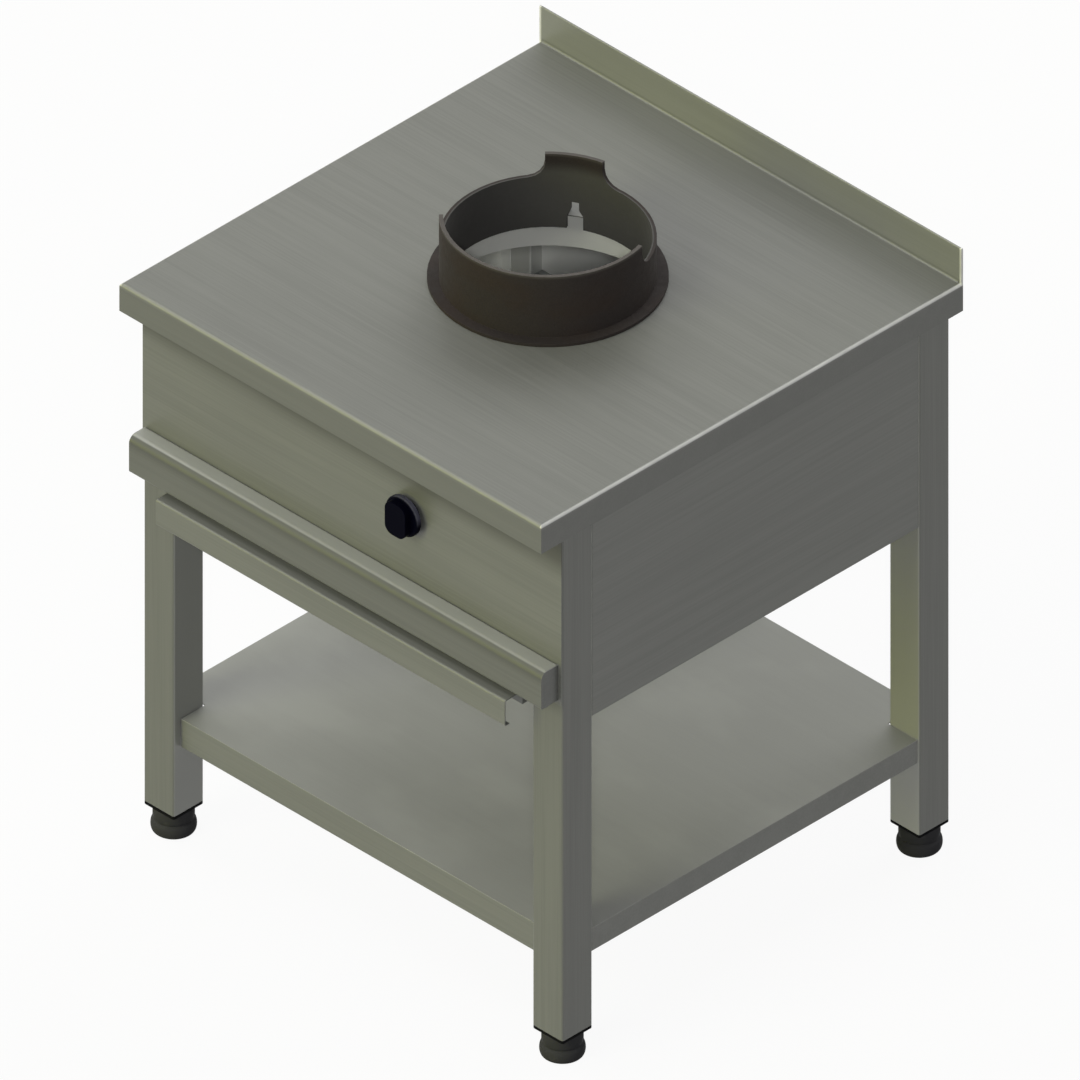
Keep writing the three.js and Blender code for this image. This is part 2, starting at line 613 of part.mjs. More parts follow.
// One square tube of the upper frame, pulled by the function given.
function frameTube(name, pull, centre, span) {
  const half = FRAME_TUBE / 2;
  const inner = half - FRAME_WALL;
  const low = FRAME_BOTTOM;
  const sides = [centre - half, centre + half];
  const section = hood(sides, [low, CARRIER_TOP], 0, 0);
  const hollow = hood(
    [centre - inner, centre + inner],
    [low + FRAME_WALL, CARRIER_TOP - FRAME_WALL],
    0,
    0,
  );
  section.holes.push(hollow);
  return part(name, pull(section, span), steelTube());
}

function frame() {
  const group = new THREE.Group();
  for (const [corner, x, y] of CORNERS) {
    group.add(leg(corner, x, y), footInsert(corner, x, y));
    group.add(footStem(corner, x, y), footPad(corner, x, y));
  }
  const bay = [BAY_FRONT, BAY_REAR];
  group.add(
    frameTube("frame_rail_left", alongY, -SIDE_RAIL_X, bay),
    frameTube("frame_rail_right", alongY, SIDE_RAIL_X, bay),
    frameTube("frame_rail_front", alongX, FRONT_RAIL_Y, [-BAY_SIDE, BAY_SIDE]),
    frameTube("frame_rail_rear", alongX, REAR_RAIL_Y, [-BAY_SIDE, BAY_SIDE]),
  );
  return group;
}

// ---- Casing --------------------------------------------------------------------------------------

function apron() {
  const sheet = box([-LEG_OUTER_X, LEG_OUTER_X], [APRON_FRONT, APRON_BACK], [APRON_BOTTOM, EDGE_TOP]);
  const hemX = LEG_INNER_X - HEM_END_INSET;
  const hemY = [APRON_FRONT, APRON_BACK + APRON_HEM];
  const hem = box([-hemX, hemX], hemY, [APRON_BOTTOM, APRON_BOTTOM + SHEET]);
  const holeY = [APRON_FRONT - CUT, APRON_BACK + CUT];
  const hole = rodY([KNOB_X, KNOB_Z], SPINDLE_RADIUS + SPINDLE_CLEARANCE, holeY);
  return part("front_apron", sheet.add(hem).subtract(hole), steel());
}

// Side panel between a front and a rear leg. The side is -1 on the left and 1 on the right.
function sidePanel(name, side) {
  const sheetX = [side * PANEL_INNER_X, side * PANEL_OUTER_X];
  const flangeX = [side * (PANEL_OUTER_X - PANEL_FLANGE), side * PANEL_OUTER_X];
  const flangeZ = [CASE_BOTTOM, FRAME_BOTTOM - GAP];
  const bay = [BAY_FRONT, BAY_REAR];
  const solids = [
    box(sheetX, bay, [CASE_BOTTOM, EDGE_TOP]),
    box(flangeX, [BAY_FRONT, BAY_FRONT + SHEET], flangeZ),
    box(flangeX, [BAY_REAR - SHEET, BAY_REAR], flangeZ),
    box(flangeX, bay, [CASE_BOTTOM, CASE_BOTTOM + SHEET]),
  ];
  return part(name, join(solids), steel());
}

function rearPanel() {
  const width = [-BAY_SIDE, BAY_SIDE];
  const sheet = box(width, [REAR_PANEL_FRONT, REAR_PANEL_BACK], [CASE_BOTTOM, EDGE_TOP]);
  const hemY = [REAR_PANEL_FRONT, REAR_PANEL_BACK + PANEL_FLANGE];
  const hem = box(width, hemY, [CASE_BOTTOM, CASE_BOTTOM + SHEET]);
  const holeY = [REAR_PANEL_FRONT - CUT, REAR_PANEL_BACK + CUT];
  const hole = rodY([INLET_X, INLET_Z], INLET_RADIUS + GAP, holeY);
  return part("rear_panel", sheet.add(hem).subtract(hole), steel());
}

// Guard rail across the front: a fixing flange, a rounded top, a straight face and a folded lip,
// with a plate that closes each end.
function guardRail() {
  const half = SHEET / 2;
  const back = APRON_FRONT - GAP - half;
  const face = APRON_FRONT - RAIL_DEPTH + half;
  const low = RAIL_BOTTOM + half;
  const high = RAIL_TOP - half;
  const lip = face + RAIL_LIP;
  const line = [
    [back, RAIL_TOP - RAIL_FIXING_FLANGE],
    [back, high],
    [face, high, RAIL_BEND],
    [face, low, BEND],
    [lip, low],
    [lip, low + RAIL_LIP_UPTURN],
  ];
  const reach = RIGHT - RAIL_END_INSET;
  const strip = alongX(folded(line, SHEET, EDGE_STEPS), [-reach, reach]);
  const end = hood([face, APRON_FRONT - GAP], [low, high], RAIL_BEND + half, 0);
  const spans = [
    [-reach, SHEET - reach],
    [reach - SHEET, reach],
  ];
  const plates = spans.map((span) => alongX(end, span, EDGE_STEPS / 2));
  return part("guard_rail", strip.add(plates[0]).add(plates[1]), steel());
}

function casing() {
  const group = new THREE.Group();
  group.add(worktop(), apron(), rearPanel(), guardRail());
  group.add(sidePanel("side_panel_left", -1), sidePanel("side_panel_right", 1));
  return group;
}

// ---- Shelf ---------------------------------------------------------------------------------------

// Shelf tray with a folded rim, notched round the four legs.
function shelfTray() {
  const bottom = SHELF_TOP - SHELF_RIM;
  const outer = box([-SHELF_SIDE, SHELF_SIDE], [SHELF_FRONT, SHELF_REAR], [bottom, SHELF_TOP]);
  const insideX = SHELF_SIDE - SHEET;
  const insideY = [SHELF_FRONT + SHEET, SHELF_REAR - SHEET];
  const cutters = [box([-insideX, insideX], insideY, [bottom - CUT, SHELF_UNDER])];
  const notch = LEG_SIZE / 2 + SHELF_NOTCH_GAP;
  for (const [, x, y] of CORNERS) {
    const out = Math.sign(x) * LEG_SIZE;
    const away = Math.sign(y) * LEG_SIZE;
    const notchX = [x - Math.sign(x) * notch, x + out];
    const notchY = [y - Math.sign(y) * notch, y + away];
    cutters.push(box(notchX, notchY, [bottom - CUT, SHELF_TOP + CUT]));
  }
  for (const side of [-1, 1]) {
    const rim = [side * (insideX - CUT), side * (SHELF_SIDE + CUT)];
    cutters.push(box(rim, insideY, [bottom - CUT, SHELF_TOP - SHELF_SIDE_RIM]));
  }
  return part("shelf", cut(outer, cutters), steel());
}

// Top-hat channel under the middle of the shelf.
function shelfStiffener() {
  const half = SHEET / 2;
  const top = SHELF_UNDER - GAP - half;
  const wall = STIFFENER_WIDTH / 2;
  const floor = top - STIFFENER_HEIGHT;
  const line = [
    [-wall - STIFFENER_LIP, top],
    [-wall, top],
    [-wall, floor],
    [wall, floor],
    [wall, top],
    [wall + STIFFENER_LIP, top],
  ];
  const reach = SHELF_SIDE - SHEET - GAP;
  return part("shelf_stiffener", alongX(folded(line), [-reach, reach]), steel());
}

// Angle on a leg's inner face, under the shelf.
function shelfBracket(corner, x, y, inward) {
  const face = x + inward * (LEG_SIZE / 2 + GAP);
  const top = SHELF_UNDER - GAP;
  const middle = y - Math.sign(y) * SHELF_BRACKET_SHIFT;
  const width = [middle - SHELF_BRACKET_WIDTH / 2, middle + SHELF_BRACKET_WIDTH / 2];
  const upright = box([face, face + inward * BRACKET_THICKNESS], width, [top - SHELF_BRACKET, top]);
  const ledge = box([face, face + inward * SHELF_BRACKET], width, [top - BRACKET_THICKNESS, top]);
  return part("shelf_bracket_" + corner, upright.add(ledge), zincSteel());
}

function shelf() {
  const group = new THREE.Group();
  group.add(shelfTray(), shelfStiffener());
  for (const [corner, x, y, inward] of CORNERS) {
    group.add(shelfBracket(corner, x, y, inward));
  }
  return group;
}

// ---- Drip tray -----------------------------------------------------------------------------------

function dripTray() {
  const walls = [-TRAY_WALL_X, TRAY_WALL_X];
  const hollowX = TRAY_WALL_X - SHEET;
  const flangeZ = [TRAY_FLANGE_UNDER, TRAY_TOP];
  const solids = [
    box(walls, [TRAY_WALL_FRONT, TRAY_WALL_REAR], [TRAY_BOTTOM, TRAY_TOP]),
    box([-TRAY_SIDE, TRAY_SIDE], [TRAY_WALL_FRONT, TRAY_WALL_REAR], flangeZ),
    alongX(folded(trayLipLine()), [-TRAY_SIDE, TRAY_SIDE]),
  ];
  const hollowY = [TRAY_WALL_FRONT + SHEET, TRAY_WALL_REAR - SHEET];
  const hollow = box([-hollowX, hollowX], hollowY, [TRAY_BOTTOM + SHEET, TRAY_TOP + CUT]);
  return part("drip_tray", cut(join(solids), [hollow]), steel());
}

// The middle line of the tray's front flange and its pull lip.
function trayLipLine() {
  const half = SHEET / 2;
  return [
    [TRAY_WALL_FRONT + half, TRAY_TOP - half],
    [FRONT + half, TRAY_TOP - half],
    [FRONT + half, CASE_BOTTOM + half],
    [FRONT + TRAY_LIP_HEM, CASE_BOTTOM + half],
  ];
}

// Channel on the legs' inner faces that holds one side flange of the tray.
function trayRunner(name, side) {
  const half = SHEET / 2;
  const web = BAY_SIDE - half;
  const edge = TRAY_WALL_X + RUNNER_CLEARANCE;
  const low = TRAY_FLANGE_UNDER - GAP - half;
  const high = TRAY_TOP + RUNNER_HEADROOM + half;
  const line = [
    [side * edge, low],
    [side * web, low, RUNNER_BEND],
    [side * web, high, RUNNER_BEND],
    [side * edge, high],
  ];
  const span = [APRON_BACK + GAP, REAR_PANEL_FRONT - GAP];
  return part(name, alongY(folded(line), span), zincSteel());
}

function tray() {
  const group = new THREE.Group();
  group.add(dripTray(), trayRunner("tray_runner_left", -1), trayRunner("tray_runner_right", 1));
  return group;
}

// ---- Wok ring ------------------------------------------------------------------------------------

// A wedge from the axis out to a radius, between two angles in degrees.
function wedge(from, to, radius, heights) {
  const start = THREE.MathUtils.degToRad(from);
  const end = THREE.MathUtils.degToRad(to);
  const shape = new THREE.Shape();
  shape.moveTo(0, 0);
  shape.lineTo(radius * Math.cos(start), radius * Math.sin(start));
  shape.absarc(0, 0, radius, start, end);
  return alongZ(shape, heights, SMALL_SIDES);
}

// A shape drawn in (y, z), pulled outwards from the axis and swung round Z to an angle in degrees.
function outward(shape, reach, angle) {
  return alongX(shape, [0, reach], SMALL_SIDES).rotate([0, 0, angle]);
}

// What is cut from the wall between two high stretches: its lower corners are round.
function lowRim(from, to) {
  const reach = RING_RADIUS + RING_FILLET;
  const top = WORKTOP_HEIGHT + RING_HIGH + RING_FILLET;
  const low = WORKTOP_HEIGHT + RING_LOW;
  const swing = THREE.MathUtils.radToDeg(RING_FILLET / (RING_RADIUS - RING_WALL / 2));
  const round = new THREE.Shape();
  round.absarc(0, low + RING_FILLET, RING_FILLET, 0, 2 * Math.PI);
  return join([
    wedge(from, to, reach, [low + RING_FILLET, top]),
    wedge(from + swing, to - swing, reach, [low, top]),
    outward(round, reach, from + swing),
    outward(round, reach, to - swing),
  ]);
}

function wokRing() {
  const inner = RING_RADIUS - RING_WALL;
  const seat = WORKTOP_HEIGHT + GAP;
  const bottom = WORKTOP_HEIGHT - RING_SPIGOT;
  const top = WORKTOP_HEIGHT + RING_HIGH;
  const profile = [
    [inner, bottom],
    [RING_RADIUS, bottom],
    [RING_RADIUS, seat],
    [RING_FLANGE_RADIUS, seat],
    [RING_FLANGE_RADIUS, WORKTOP_HEIGHT + RING_FLANGE],
    [RING_RADIUS, WORKTOP_HEIGHT + RING_FLANGE],
    [RING_RADIUS, top],
    [inner, top],
  ];
  const reach = RING_RADIUS + RING_FILLET;
  const tab = (RING_TAB_START + RING_TAB_END) / 2;
  const notch = polygon([
    [-NOTCH_WIDE / 2, bottom - CUT],
    [NOTCH_WIDE / 2, bottom - CUT],
    [NOTCH_WIDE / 2, WORKTOP_HEIGHT + NOTCH_SHOULDER],
    [NOTCH_NARROW / 2, WORKTOP_HEIGHT + NOTCH_SHOULDER + NOTCH_TAPER],
    [NOTCH_NARROW / 2, WORKTOP_HEIGHT + NOTCH_TOP],
    [-NOTCH_NARROW / 2, WORKTOP_HEIGHT + NOTCH_TOP],
    [-NOTCH_NARROW / 2, WORKTOP_HEIGHT + NOTCH_SHOULDER + NOTCH_TAPER],
    [-NOTCH_WIDE / 2, WORKTOP_HEIGHT + NOTCH_SHOULDER],
  ]);
  const ring = cut(turned(profile, RING_SIDES), [
    lowRim(RING_HIGH_END, RING_TAB_START + 360),
    lowRim(RING_TAB_END, RING_HIGH_START),
    outward(notch, reach, tab),
  ]);
  return part("wok_ring", ring, castIron());
}

// ---- Burner, built round its own axis --------------------------------------------------------------

function burnerBody() {
  const inside = BURNER_RADIUS - BURNER_WALL;
  const pot = turned(
    [
      [0, BODY_BOTTOM],
      [BURNER_RADIUS, BODY_BOTTOM],
      [BURNER_RADIUS, BODY_TOP],
      [0, BODY_TOP],
    ],
    ROUND_SIDES,
  );
  const neckRadius = TUBE_RADIUS + GAP + NECK_WALL;
  const neck = rodY([0, NECK_Z], neckRadius, [-NECK_REACH, 0], ROUND_SIDES);
  const cavity = rodZ(inside, [BODY_BOTTOM + BURNER_WALL, BODY_TOP + CUT], ROUND_SIDES);
  const tubeSeat = rodY([0, NECK_Z], TUBE_RADIUS + GAP, [-NECK_REACH - CUT, 0], ROUND_SIDES);
  return part("burner_body", cut(pot.add(neck), [cavity, tubeSeat]), castIron());
}

// Lift-off cap with a ring of flame ports round its edge.
function burnerCap() {
  const bottom = BODY_TOP + GAP;
  const spigot = BURNER_RADIUS - BURNER_WALL - 2 * GAP;
  const disc = turned(
    [
      [0, bottom],
      [spigot - BURNER_WALL, bottom],
      [spigot - BURNER_WALL, bottom - CAP_SPIGOT],
      [spigot, bottom - CAP_SPIGOT],
      [spigot, bottom],
      [BURNER_RADIUS, bottom],
      [BURNER_RADIUS, BURNER_TOP - CAP_BOSS_HEIGHT],
      [BURNER_RADIUS - CAP_BOSS_HEIGHT, BURNER_TOP - CAP_BOSS_HEIGHT / 2],
      [CAP_BOSS_RADIUS, BURNER_TOP - CAP_BOSS_HEIGHT / 2],
      [CAP_BOSS_RADIUS, BURNER_TOP],
      [0, BURNER_TOP],
    ],
    ROUND_SIDES,
  );
  const slot = polygon([
    [-PORT_WIDTH / 2, BURNER_TOP - CAP_BOSS_HEIGHT - PORT_DEPTH / 2],
    [PORT_WIDTH / 2, BURNER_TOP - CAP_BOSS_HEIGHT - PORT_DEPTH / 2],
    [PORT_WIDTH / 2, BURNER_TOP],
    [-PORT_WIDTH / 2, BURNER_TOP],
  ]);
  const keep = rodZ(BURNER_RADIUS - PORT_LENGTH, [bottom - CUT, BURNER_TOP + CUT], ROUND_SIDES);
  const ports = [];
  for (let i = 0; i < PORTS; i++) {
    ports.push(outward(slot, BURNER_RADIUS + CUT, (360 * i) / PORTS).subtract(keep));
  }
  return part("burner_cap", cut(disc, ports), castIron());
}

// What is cut from the air box and from the shutter round it: boxes that reach out from the Y axis.
function airWindows() {
  const windows = [];
  for (let i = 0; i < AIR_WINDOWS; i++) {
    const geometry = new THREE.BoxGeometry(AIR_WINDOW_WIDTH, AIR_WINDOW_LENGTH, AIR_BOX_RADIUS);
    geometry.translate(0, AIR_MIDDLE, AIR_BOX_RADIUS - SHUTTER_WALL);
    geometry.rotateY((2 * Math.PI * i) / AIR_WINDOWS);
    windows.push(toSolid(geometry));
  }
  return windows;
}

// Mixing tube with a flare and an air box at its mouth, round the Y axis at the origin.
function mixingTube() {
  const inner = TUBE_RADIUS - TUBE_WALL;
  const boxInner = AIR_BOX_RADIUS - TUBE_WALL;
  const profile = [
    [inner, TUBE_REAR],
    [TUBE_RADIUS, TUBE_REAR],
    [TUBE_RADIUS, AIR_BOX_REAR + TUBE_FLARE],
    [AIR_BOX_RADIUS, AIR_BOX_REAR],
    [AIR_BOX_RADIUS, AIR_BOX_FRONT],
    [INJECTOR_RADIUS + GAP, AIR_BOX_FRONT],
    [INJECTOR_RADIUS + GAP, AIR_BOX_FRONT + TUBE_WALL],
    [boxInner, AIR_BOX_FRONT + TUBE_WALL],
    [boxInner, AIR_BOX_REAR],
    [inner, AIR_BOX_REAR + TUBE_FLARE],
  ];
  const tube = cut(turnedY(profile, ROUND_SIDES), airWindows());
  return placed(part("mixing_tube", tube, zincSteel()), 0, 0, NECK_Z);
}

// Sleeve that turns round the air box to open and close its windows.
function airShutter() {
  const inner = AIR_BOX_RADIUS + GAP;
  const outer = inner + SHUTTER_WALL;
  const ends = [AIR_MIDDLE - SHUTTER_LENGTH / 2, AIR_MIDDLE + SHUTTER_LENGTH / 2];
  const profile = [
    [inner, ends[0]],
    [outer, ends[0]],
    [outer, ends[1]],
    [inner, ends[1]],
  ];
  const sleeve = cut(turnedY(profile, ROUND_SIDES), airWindows());
  return placed(part("air_shutter", sleeve, zincSteel()), 0, 0, NECK_Z);
}

function injector() {
  const front = AIR_BOX_FRONT - INJECTOR_LENGTH / 2;
  const back = front + INJECTOR_LENGTH;
  const profile = [
    [0, front],
    [INJECTOR_RADIUS, front],
    [INJECTOR_RADIUS, back - INJECTOR_RADIUS],
    [INJECTOR_TIP_RADIUS, back],
    [0, back],
  ];
  return placed(part("injector", turnedY(profile, SMALL_SIDES), brass()), 0, 0, NECK_Z);
}

// Brass elbow that feeds the injector from the right.
function injectorElbow() {
  const half = ELBOW_SIZE / 2;
  const block = box([-half, half], [ELBOW_FRONT, ELBOW_FRONT + ELBOW_SIZE], [-half, half]);
  return placed(part("injector_elbow", block, brass()), 0, 0, NECK_Z);
}

// Flat bar that hangs from the side rails and carries the burner.
function burnerStrap(name, middle) {
  const half = STRAP_THICKNESS / 2;
  const x = STRAP_X - half;
  const low = STRAP_TOP - half;
  const line = [
    [x, EDGE_TOP],
    [x, low, STRAP_BEND],
    [-x, low, STRAP_BEND],
    [-x, EDGE_TOP],
  ];
  const span = [middle - STRAP_WIDTH / 2, middle + STRAP_WIDTH / 2];
  return part(name, alongY(folded(line, STRAP_THICKNESS), span), zincSteel());
}

function burner() {
  const axis = new THREE.Group();
  axis.position.set(BURNER_X, BURNER_Y, 0);
  axis.add(wokRing(), holeCollar(), burnerBody(), burnerCap());
  axis.add(mixingTube(), airShutter(), injector(), injectorElbow());
  const group = new THREE.Group();
  group.add(axis);
  group.add(burnerStrap("burner_strap_front", BURNER_Y - STRAP_OFFSET));
  group.add(burnerStrap("burner_strap_rear", BURNER_Y + STRAP_OFFSET));
  return group;
}

// ---- Pilot ---------------------------------------------------------------------------------------

// Pilot burner on the front strap, with a plate that holds the thermocouple.
function pilotBurner() {
  const post = rodZ(PILOT_RADIUS, [STRAP_TOP + GAP, STRAP_TOP + PILOT_HEIGHT]);
  const plateZ = STRAP_TOP + PILOT_PLATE_HEIGHT;
  const plateY = [-PILOT_PLATE_SIDE, PILOT_PLATE_SIDE];
  const plate = box([0, PILOT_PLATE_REACH], plateY, [plateZ, plateZ + SHEET]);
  const hole = rodZ(LEAD_RADIUS + GAP, [plateZ - CUT, plateZ + SHEET + CUT]);
  const body = post.add(plate).subtract(hole.translate([PROBE_OFFSET, 0, 0]));
  return placed(part("pilot_burner", body, brass()), PILOT_X, PILOT_Y, 0);
}

function pilotPipe() {
  const tap = [KNOB_X - PILOT_TAP_OFFSET, VALVE_TAP_Y];
  const high = STRAP_TOP + PILOT_PIPE_RISE;
  const low = STRAP_TOP + PILOT_PIPE_END;
  const end = PILOT_Y - PILOT_RADIUS - GAP;
  const route = [
    [...tap, KNOB_Z + VALVE_HEIGHT / 2 + GAP],
    [...tap, high],
    [PILOT_X, VALVE_TAP_Y + PILOT_PIPE_RUN, high],
    [PILOT_X, end - PILOT_PIPE_LEVEL, low],
    [PILOT_X, end, low],
  ];
  return part("pilot_pipe", pipe(route, PILOT_PIPE_RADIUS, THIN_BEND, PILOT_STEPS), copper());
}

// Thermocouple: its probe stands in the pilot's plate and its lead runs to the valve.
function thermocouple() {
  const probeX = PILOT_X + PROBE_OFFSET;
  const clearY = PILOT_Y - STRAP_WIDTH / 2 - LEAD_CLEARANCE;
  const low = STRAP_TOP + LEAD_RISE;
  const tapX = KNOB_X + LEAD_TAP_OFFSET;
  const tapZ = KNOB_Z + LEAD_TAP_OFFSET;
  const route = [
    [tapX, VALVE_REAR + GAP, tapZ],
    [tapX, VALVE_REAR + LEAD_STRAIGHT, tapZ],
    [probeX, clearY, low],
    [probeX, PILOT_Y, low],
    [probeX, PILOT_Y, STRAP_TOP + PROBE_HEIGHT],
  ];
  return part("thermocouple", pipe(route, LEAD_RADIUS, THIN_BEND, LEAD_STEPS), copper());
}

// ---- Gas train -------------------------------------------------------------------------------------

// Threaded inlet that passes through the rear panel, with a hexagon behind it.
function gasInlet() {
  const front = REAR_PANEL_FRONT - INLET_INSIDE;
  const back = REAR_PANEL_BACK + INLET_REACH;
  const hexRadius = INLET_HEX / Math.sqrt(3);
  const hexY = [REAR_PANEL_BACK + GAP, REAR_PANEL_BACK + GAP + INLET_HEX_LENGTH];
  const nipple = rodY([INLET_X, INLET_Z], INLET_RADIUS, [front, back], ROUND_SIDES);
  const hexagon = rodY([INLET_X, INLET_Z], hexRadius, hexY, 6);
  const bore = rodY([INLET_X, INLET_Z], INLET_BORE, [front + INLET_INSIDE / 2, back + CUT]);
  return part("gas_inlet", nipple.add(hexagon).subtract(bore), brass());
}

function supplyPipe() {
  const start = REAR_PANEL_FRONT - INLET_INSIDE - GAP;
  const route = [
    [INLET_X, start, INLET_Z],
    [INLET_X, VALVE_TAP_Y, INLET_Z],
    [KNOB_X, VALVE_TAP_Y, INLET_Z],
    [KNOB_X, VALVE_TAP_Y, KNOB_Z - VALVE_HEIGHT / 2 - GAP],
  ];
  return part("supply_pipe", pipe(route, SUPPLY_RADIUS, SUPPLY_BEND, SUPPLY_STEPS), copper());
}

function feedPipe() {
  const middle = BURNER_Y + ELBOW_FRONT + ELBOW_SIZE / 2;
  const elbowX = BURNER_X + ELBOW_SIZE / 2 + GAP;
  const start = KNOB_X - VALVE_WIDTH / 2 - GAP;
  const kneeX = (start + elbowX) / 2;
  const route = [
    [start, VALVE_TAP_Y, KNOB_Z],
    [kneeX, VALVE_TAP_Y, KNOB_Z],
    [kneeX, middle, NECK_Z],
    [elbowX, middle, NECK_Z],
  ];
  return part("feed_pipe", pipe(route, FEED_RADIUS, FEED_BEND, FEED_STEPS), copper());
}

function gasValve() {
  const centre = [KNOB_X, KNOB_Z];
  const nose = rodY(centre, VALVE_NOSE_RADIUS, [VALVE_FRONT, VALVE_FRONT + VALVE_NOSE], ROUND_SIDES);
  const width = [KNOB_X - VALVE_WIDTH / 2, KNOB_X + VALVE_WIDTH / 2];
  const height = [KNOB_Z - VALVE_HEIGHT / 2, KNOB_Z + VALVE_HEIGHT / 2];
  const body = box(width, [VALVE_FRONT + VALVE_NOSE - CUT, VALVE_REAR], height);
  const bore = rodY(centre, CUP_RADIUS + GAP, [VALVE_FRONT - CUT, VALVE_FRONT + VALVE_BORE_DEPTH]);
  return part("gas_valve", nose.add(body).subtract(bore), brass());
}

// Angle behind the apron that the valve is screwed to.
function valvePlate() {
  const front = APRON_BACK + GAP;
  const width = [KNOB_X - VALVE_PLATE_WIDTH / 2, KNOB_X + VALVE_PLATE_WIDTH / 2];
  const top = KNOB_Z + VALVE_PLATE_HEIGHT / 2;
  const plate = box(width, [front, PLATE_BACK], [KNOB_Z - VALVE_PLATE_HEIGHT / 2, top]);
  const flange = box(width, [front, front + VALVE_PLATE_FLANGE], [top - VALVE_PLATE, top]);
  const holeY = [front - CUT, PLATE_BACK + CUT];
  const hole = rodY([KNOB_X, KNOB_Z], SPINDLE_RADIUS + SPINDLE_CLEARANCE, holeY);
  return part("valve_bracket", plate.add(flange).subtract(hole), zincSteel());
}

// ---- Knob, built round the Y axis at the origin and placed on the apron ----------------------------

function knob() {
  const skirtFront = KNOB_BACK - KNOB_SKIRT;
  const skirt = turnedY(
    [
      [0, KNOB_BACK],
      [KNOB_RADIUS, KNOB_BACK],
      [KNOB_RADIUS, skirtFront + KNOB_CHAMFER],
      [KNOB_RADIUS - KNOB_CHAMFER, skirtFront],
      [0, skirtFront],
    ],
    ROUND_SIDES,
  );
  const height = 2 * (KNOB_RADIUS - KNOB_GRIP_INSET);
  const outline = roundedRectangle(KNOB_GRIP_WIDTH, height, KNOB_GRIP_CORNER);
  const grip = alongY(outline, [KNOB_FRONT, KNOB_BACK - CUT], SMALL_SIDES / 2);
  const socket = rodY([0, 0], SPINDLE_RADIUS + GAP, [KNOB_BACK - KNOB_SOCKET, KNOB_BACK + CUT]);
  const body = skirt.add(grip).subtract(socket);
  return placed(part("knob", body, blackPlastic()), KNOB_X, 0, KNOB_Z);
}

function knobBezel() {
  const inner = SPINDLE_RADIUS + SPINDLE_CLEARANCE;
  const profile = [
    [inner, APRON_FRONT - GAP],
    [BEZEL_RADIUS, APRON_FRONT - GAP],
    [BEZEL_RADIUS, BEZEL_FRONT],
    [inner, BEZEL_FRONT],
  ];
  return placed(part("knob_bezel", turnedY(profile, ROUND_SIDES), blackPlastic()), KNOB_X, 0, KNOB_Z);
}

function valveSpindle() {
  const front = KNOB_BACK - KNOB_SOCKET + GAP;
  const back = VALVE_FRONT + CUP_SETBACK + CUP_LENGTH + SPINDLE_TAIL;
  const rod = rodY([0, 0], SPINDLE_RADIUS, [front, back]);
  return placed(part("valve_spindle", rod, zincSteel()), KNOB_X, 0, KNOB_Z);
}

// Cup inside the valve's nose that travels with the spindle but does not turn.
function pushCup() {
  const front = VALVE_FRONT + CUP_SETBACK;
  const profile = [
    [SPINDLE_RADIUS + GAP, front],
    [CUP_RADIUS, front],
    [CUP_RADIUS, front + CUP_LENGTH],
    [SPINDLE_RADIUS + GAP, front + CUP_LENGTH],
  ];
  return placed(part("push_cup", turnedY(profile, SMALL_SIDES), brass()), KNOB_X, 0, KNOB_Z);
}

function gasTrain() {
  const group = new THREE.Group();
  group.add(gasInlet(), supplyPipe(), feedPipe(), gasValve(), valvePlate());
  group.add(pilotBurner(), pilotPipe(), thermocouple());
  group.add(knob(), knobBezel(), valveSpindle(), pushCup());
  return group;
}

// ---- The whole range -------------------------------------------------------------------------------
const wokRange = new THREE.Group();
wokRange.add(frame(), casing(), shelf(), tray(), burner(), gasTrain());

export default wokRange;
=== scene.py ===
"""Looks of a free-standing gas wok range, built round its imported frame, in metres."""

import json
import logging
import math
from collections.abc import Sequence
from dataclasses import dataclass
from enum import Enum

import bmesh
import bpy
from mathutils import Matrix, Vector

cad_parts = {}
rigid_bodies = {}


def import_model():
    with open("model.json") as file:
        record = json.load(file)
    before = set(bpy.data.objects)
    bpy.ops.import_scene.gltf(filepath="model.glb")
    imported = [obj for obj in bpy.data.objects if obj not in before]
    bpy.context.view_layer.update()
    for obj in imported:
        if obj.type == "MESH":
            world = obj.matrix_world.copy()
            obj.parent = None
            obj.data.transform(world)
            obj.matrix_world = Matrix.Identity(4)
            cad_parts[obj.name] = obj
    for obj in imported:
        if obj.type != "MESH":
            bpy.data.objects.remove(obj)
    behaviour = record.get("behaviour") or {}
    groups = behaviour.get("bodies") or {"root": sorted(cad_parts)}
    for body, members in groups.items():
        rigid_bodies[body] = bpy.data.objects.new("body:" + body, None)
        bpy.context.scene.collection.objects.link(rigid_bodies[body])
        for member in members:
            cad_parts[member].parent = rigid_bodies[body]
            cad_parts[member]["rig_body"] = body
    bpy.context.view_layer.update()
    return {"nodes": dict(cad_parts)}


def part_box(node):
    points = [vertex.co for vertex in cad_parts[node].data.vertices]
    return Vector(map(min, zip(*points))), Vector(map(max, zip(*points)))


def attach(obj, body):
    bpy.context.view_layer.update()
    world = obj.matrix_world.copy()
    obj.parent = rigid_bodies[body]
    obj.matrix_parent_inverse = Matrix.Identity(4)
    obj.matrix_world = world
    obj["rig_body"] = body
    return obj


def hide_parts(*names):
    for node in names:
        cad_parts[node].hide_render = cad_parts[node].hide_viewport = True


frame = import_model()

log = logging.getLogger("wok_range")

Colour = tuple[float, float, float, float]
Point = tuple[float, float, float]
Band = tuple[float, float]  # where a mask is 0, and where it is 1
Profile = list[tuple[float, float]]  # radius and height
Values = dict[str, object]

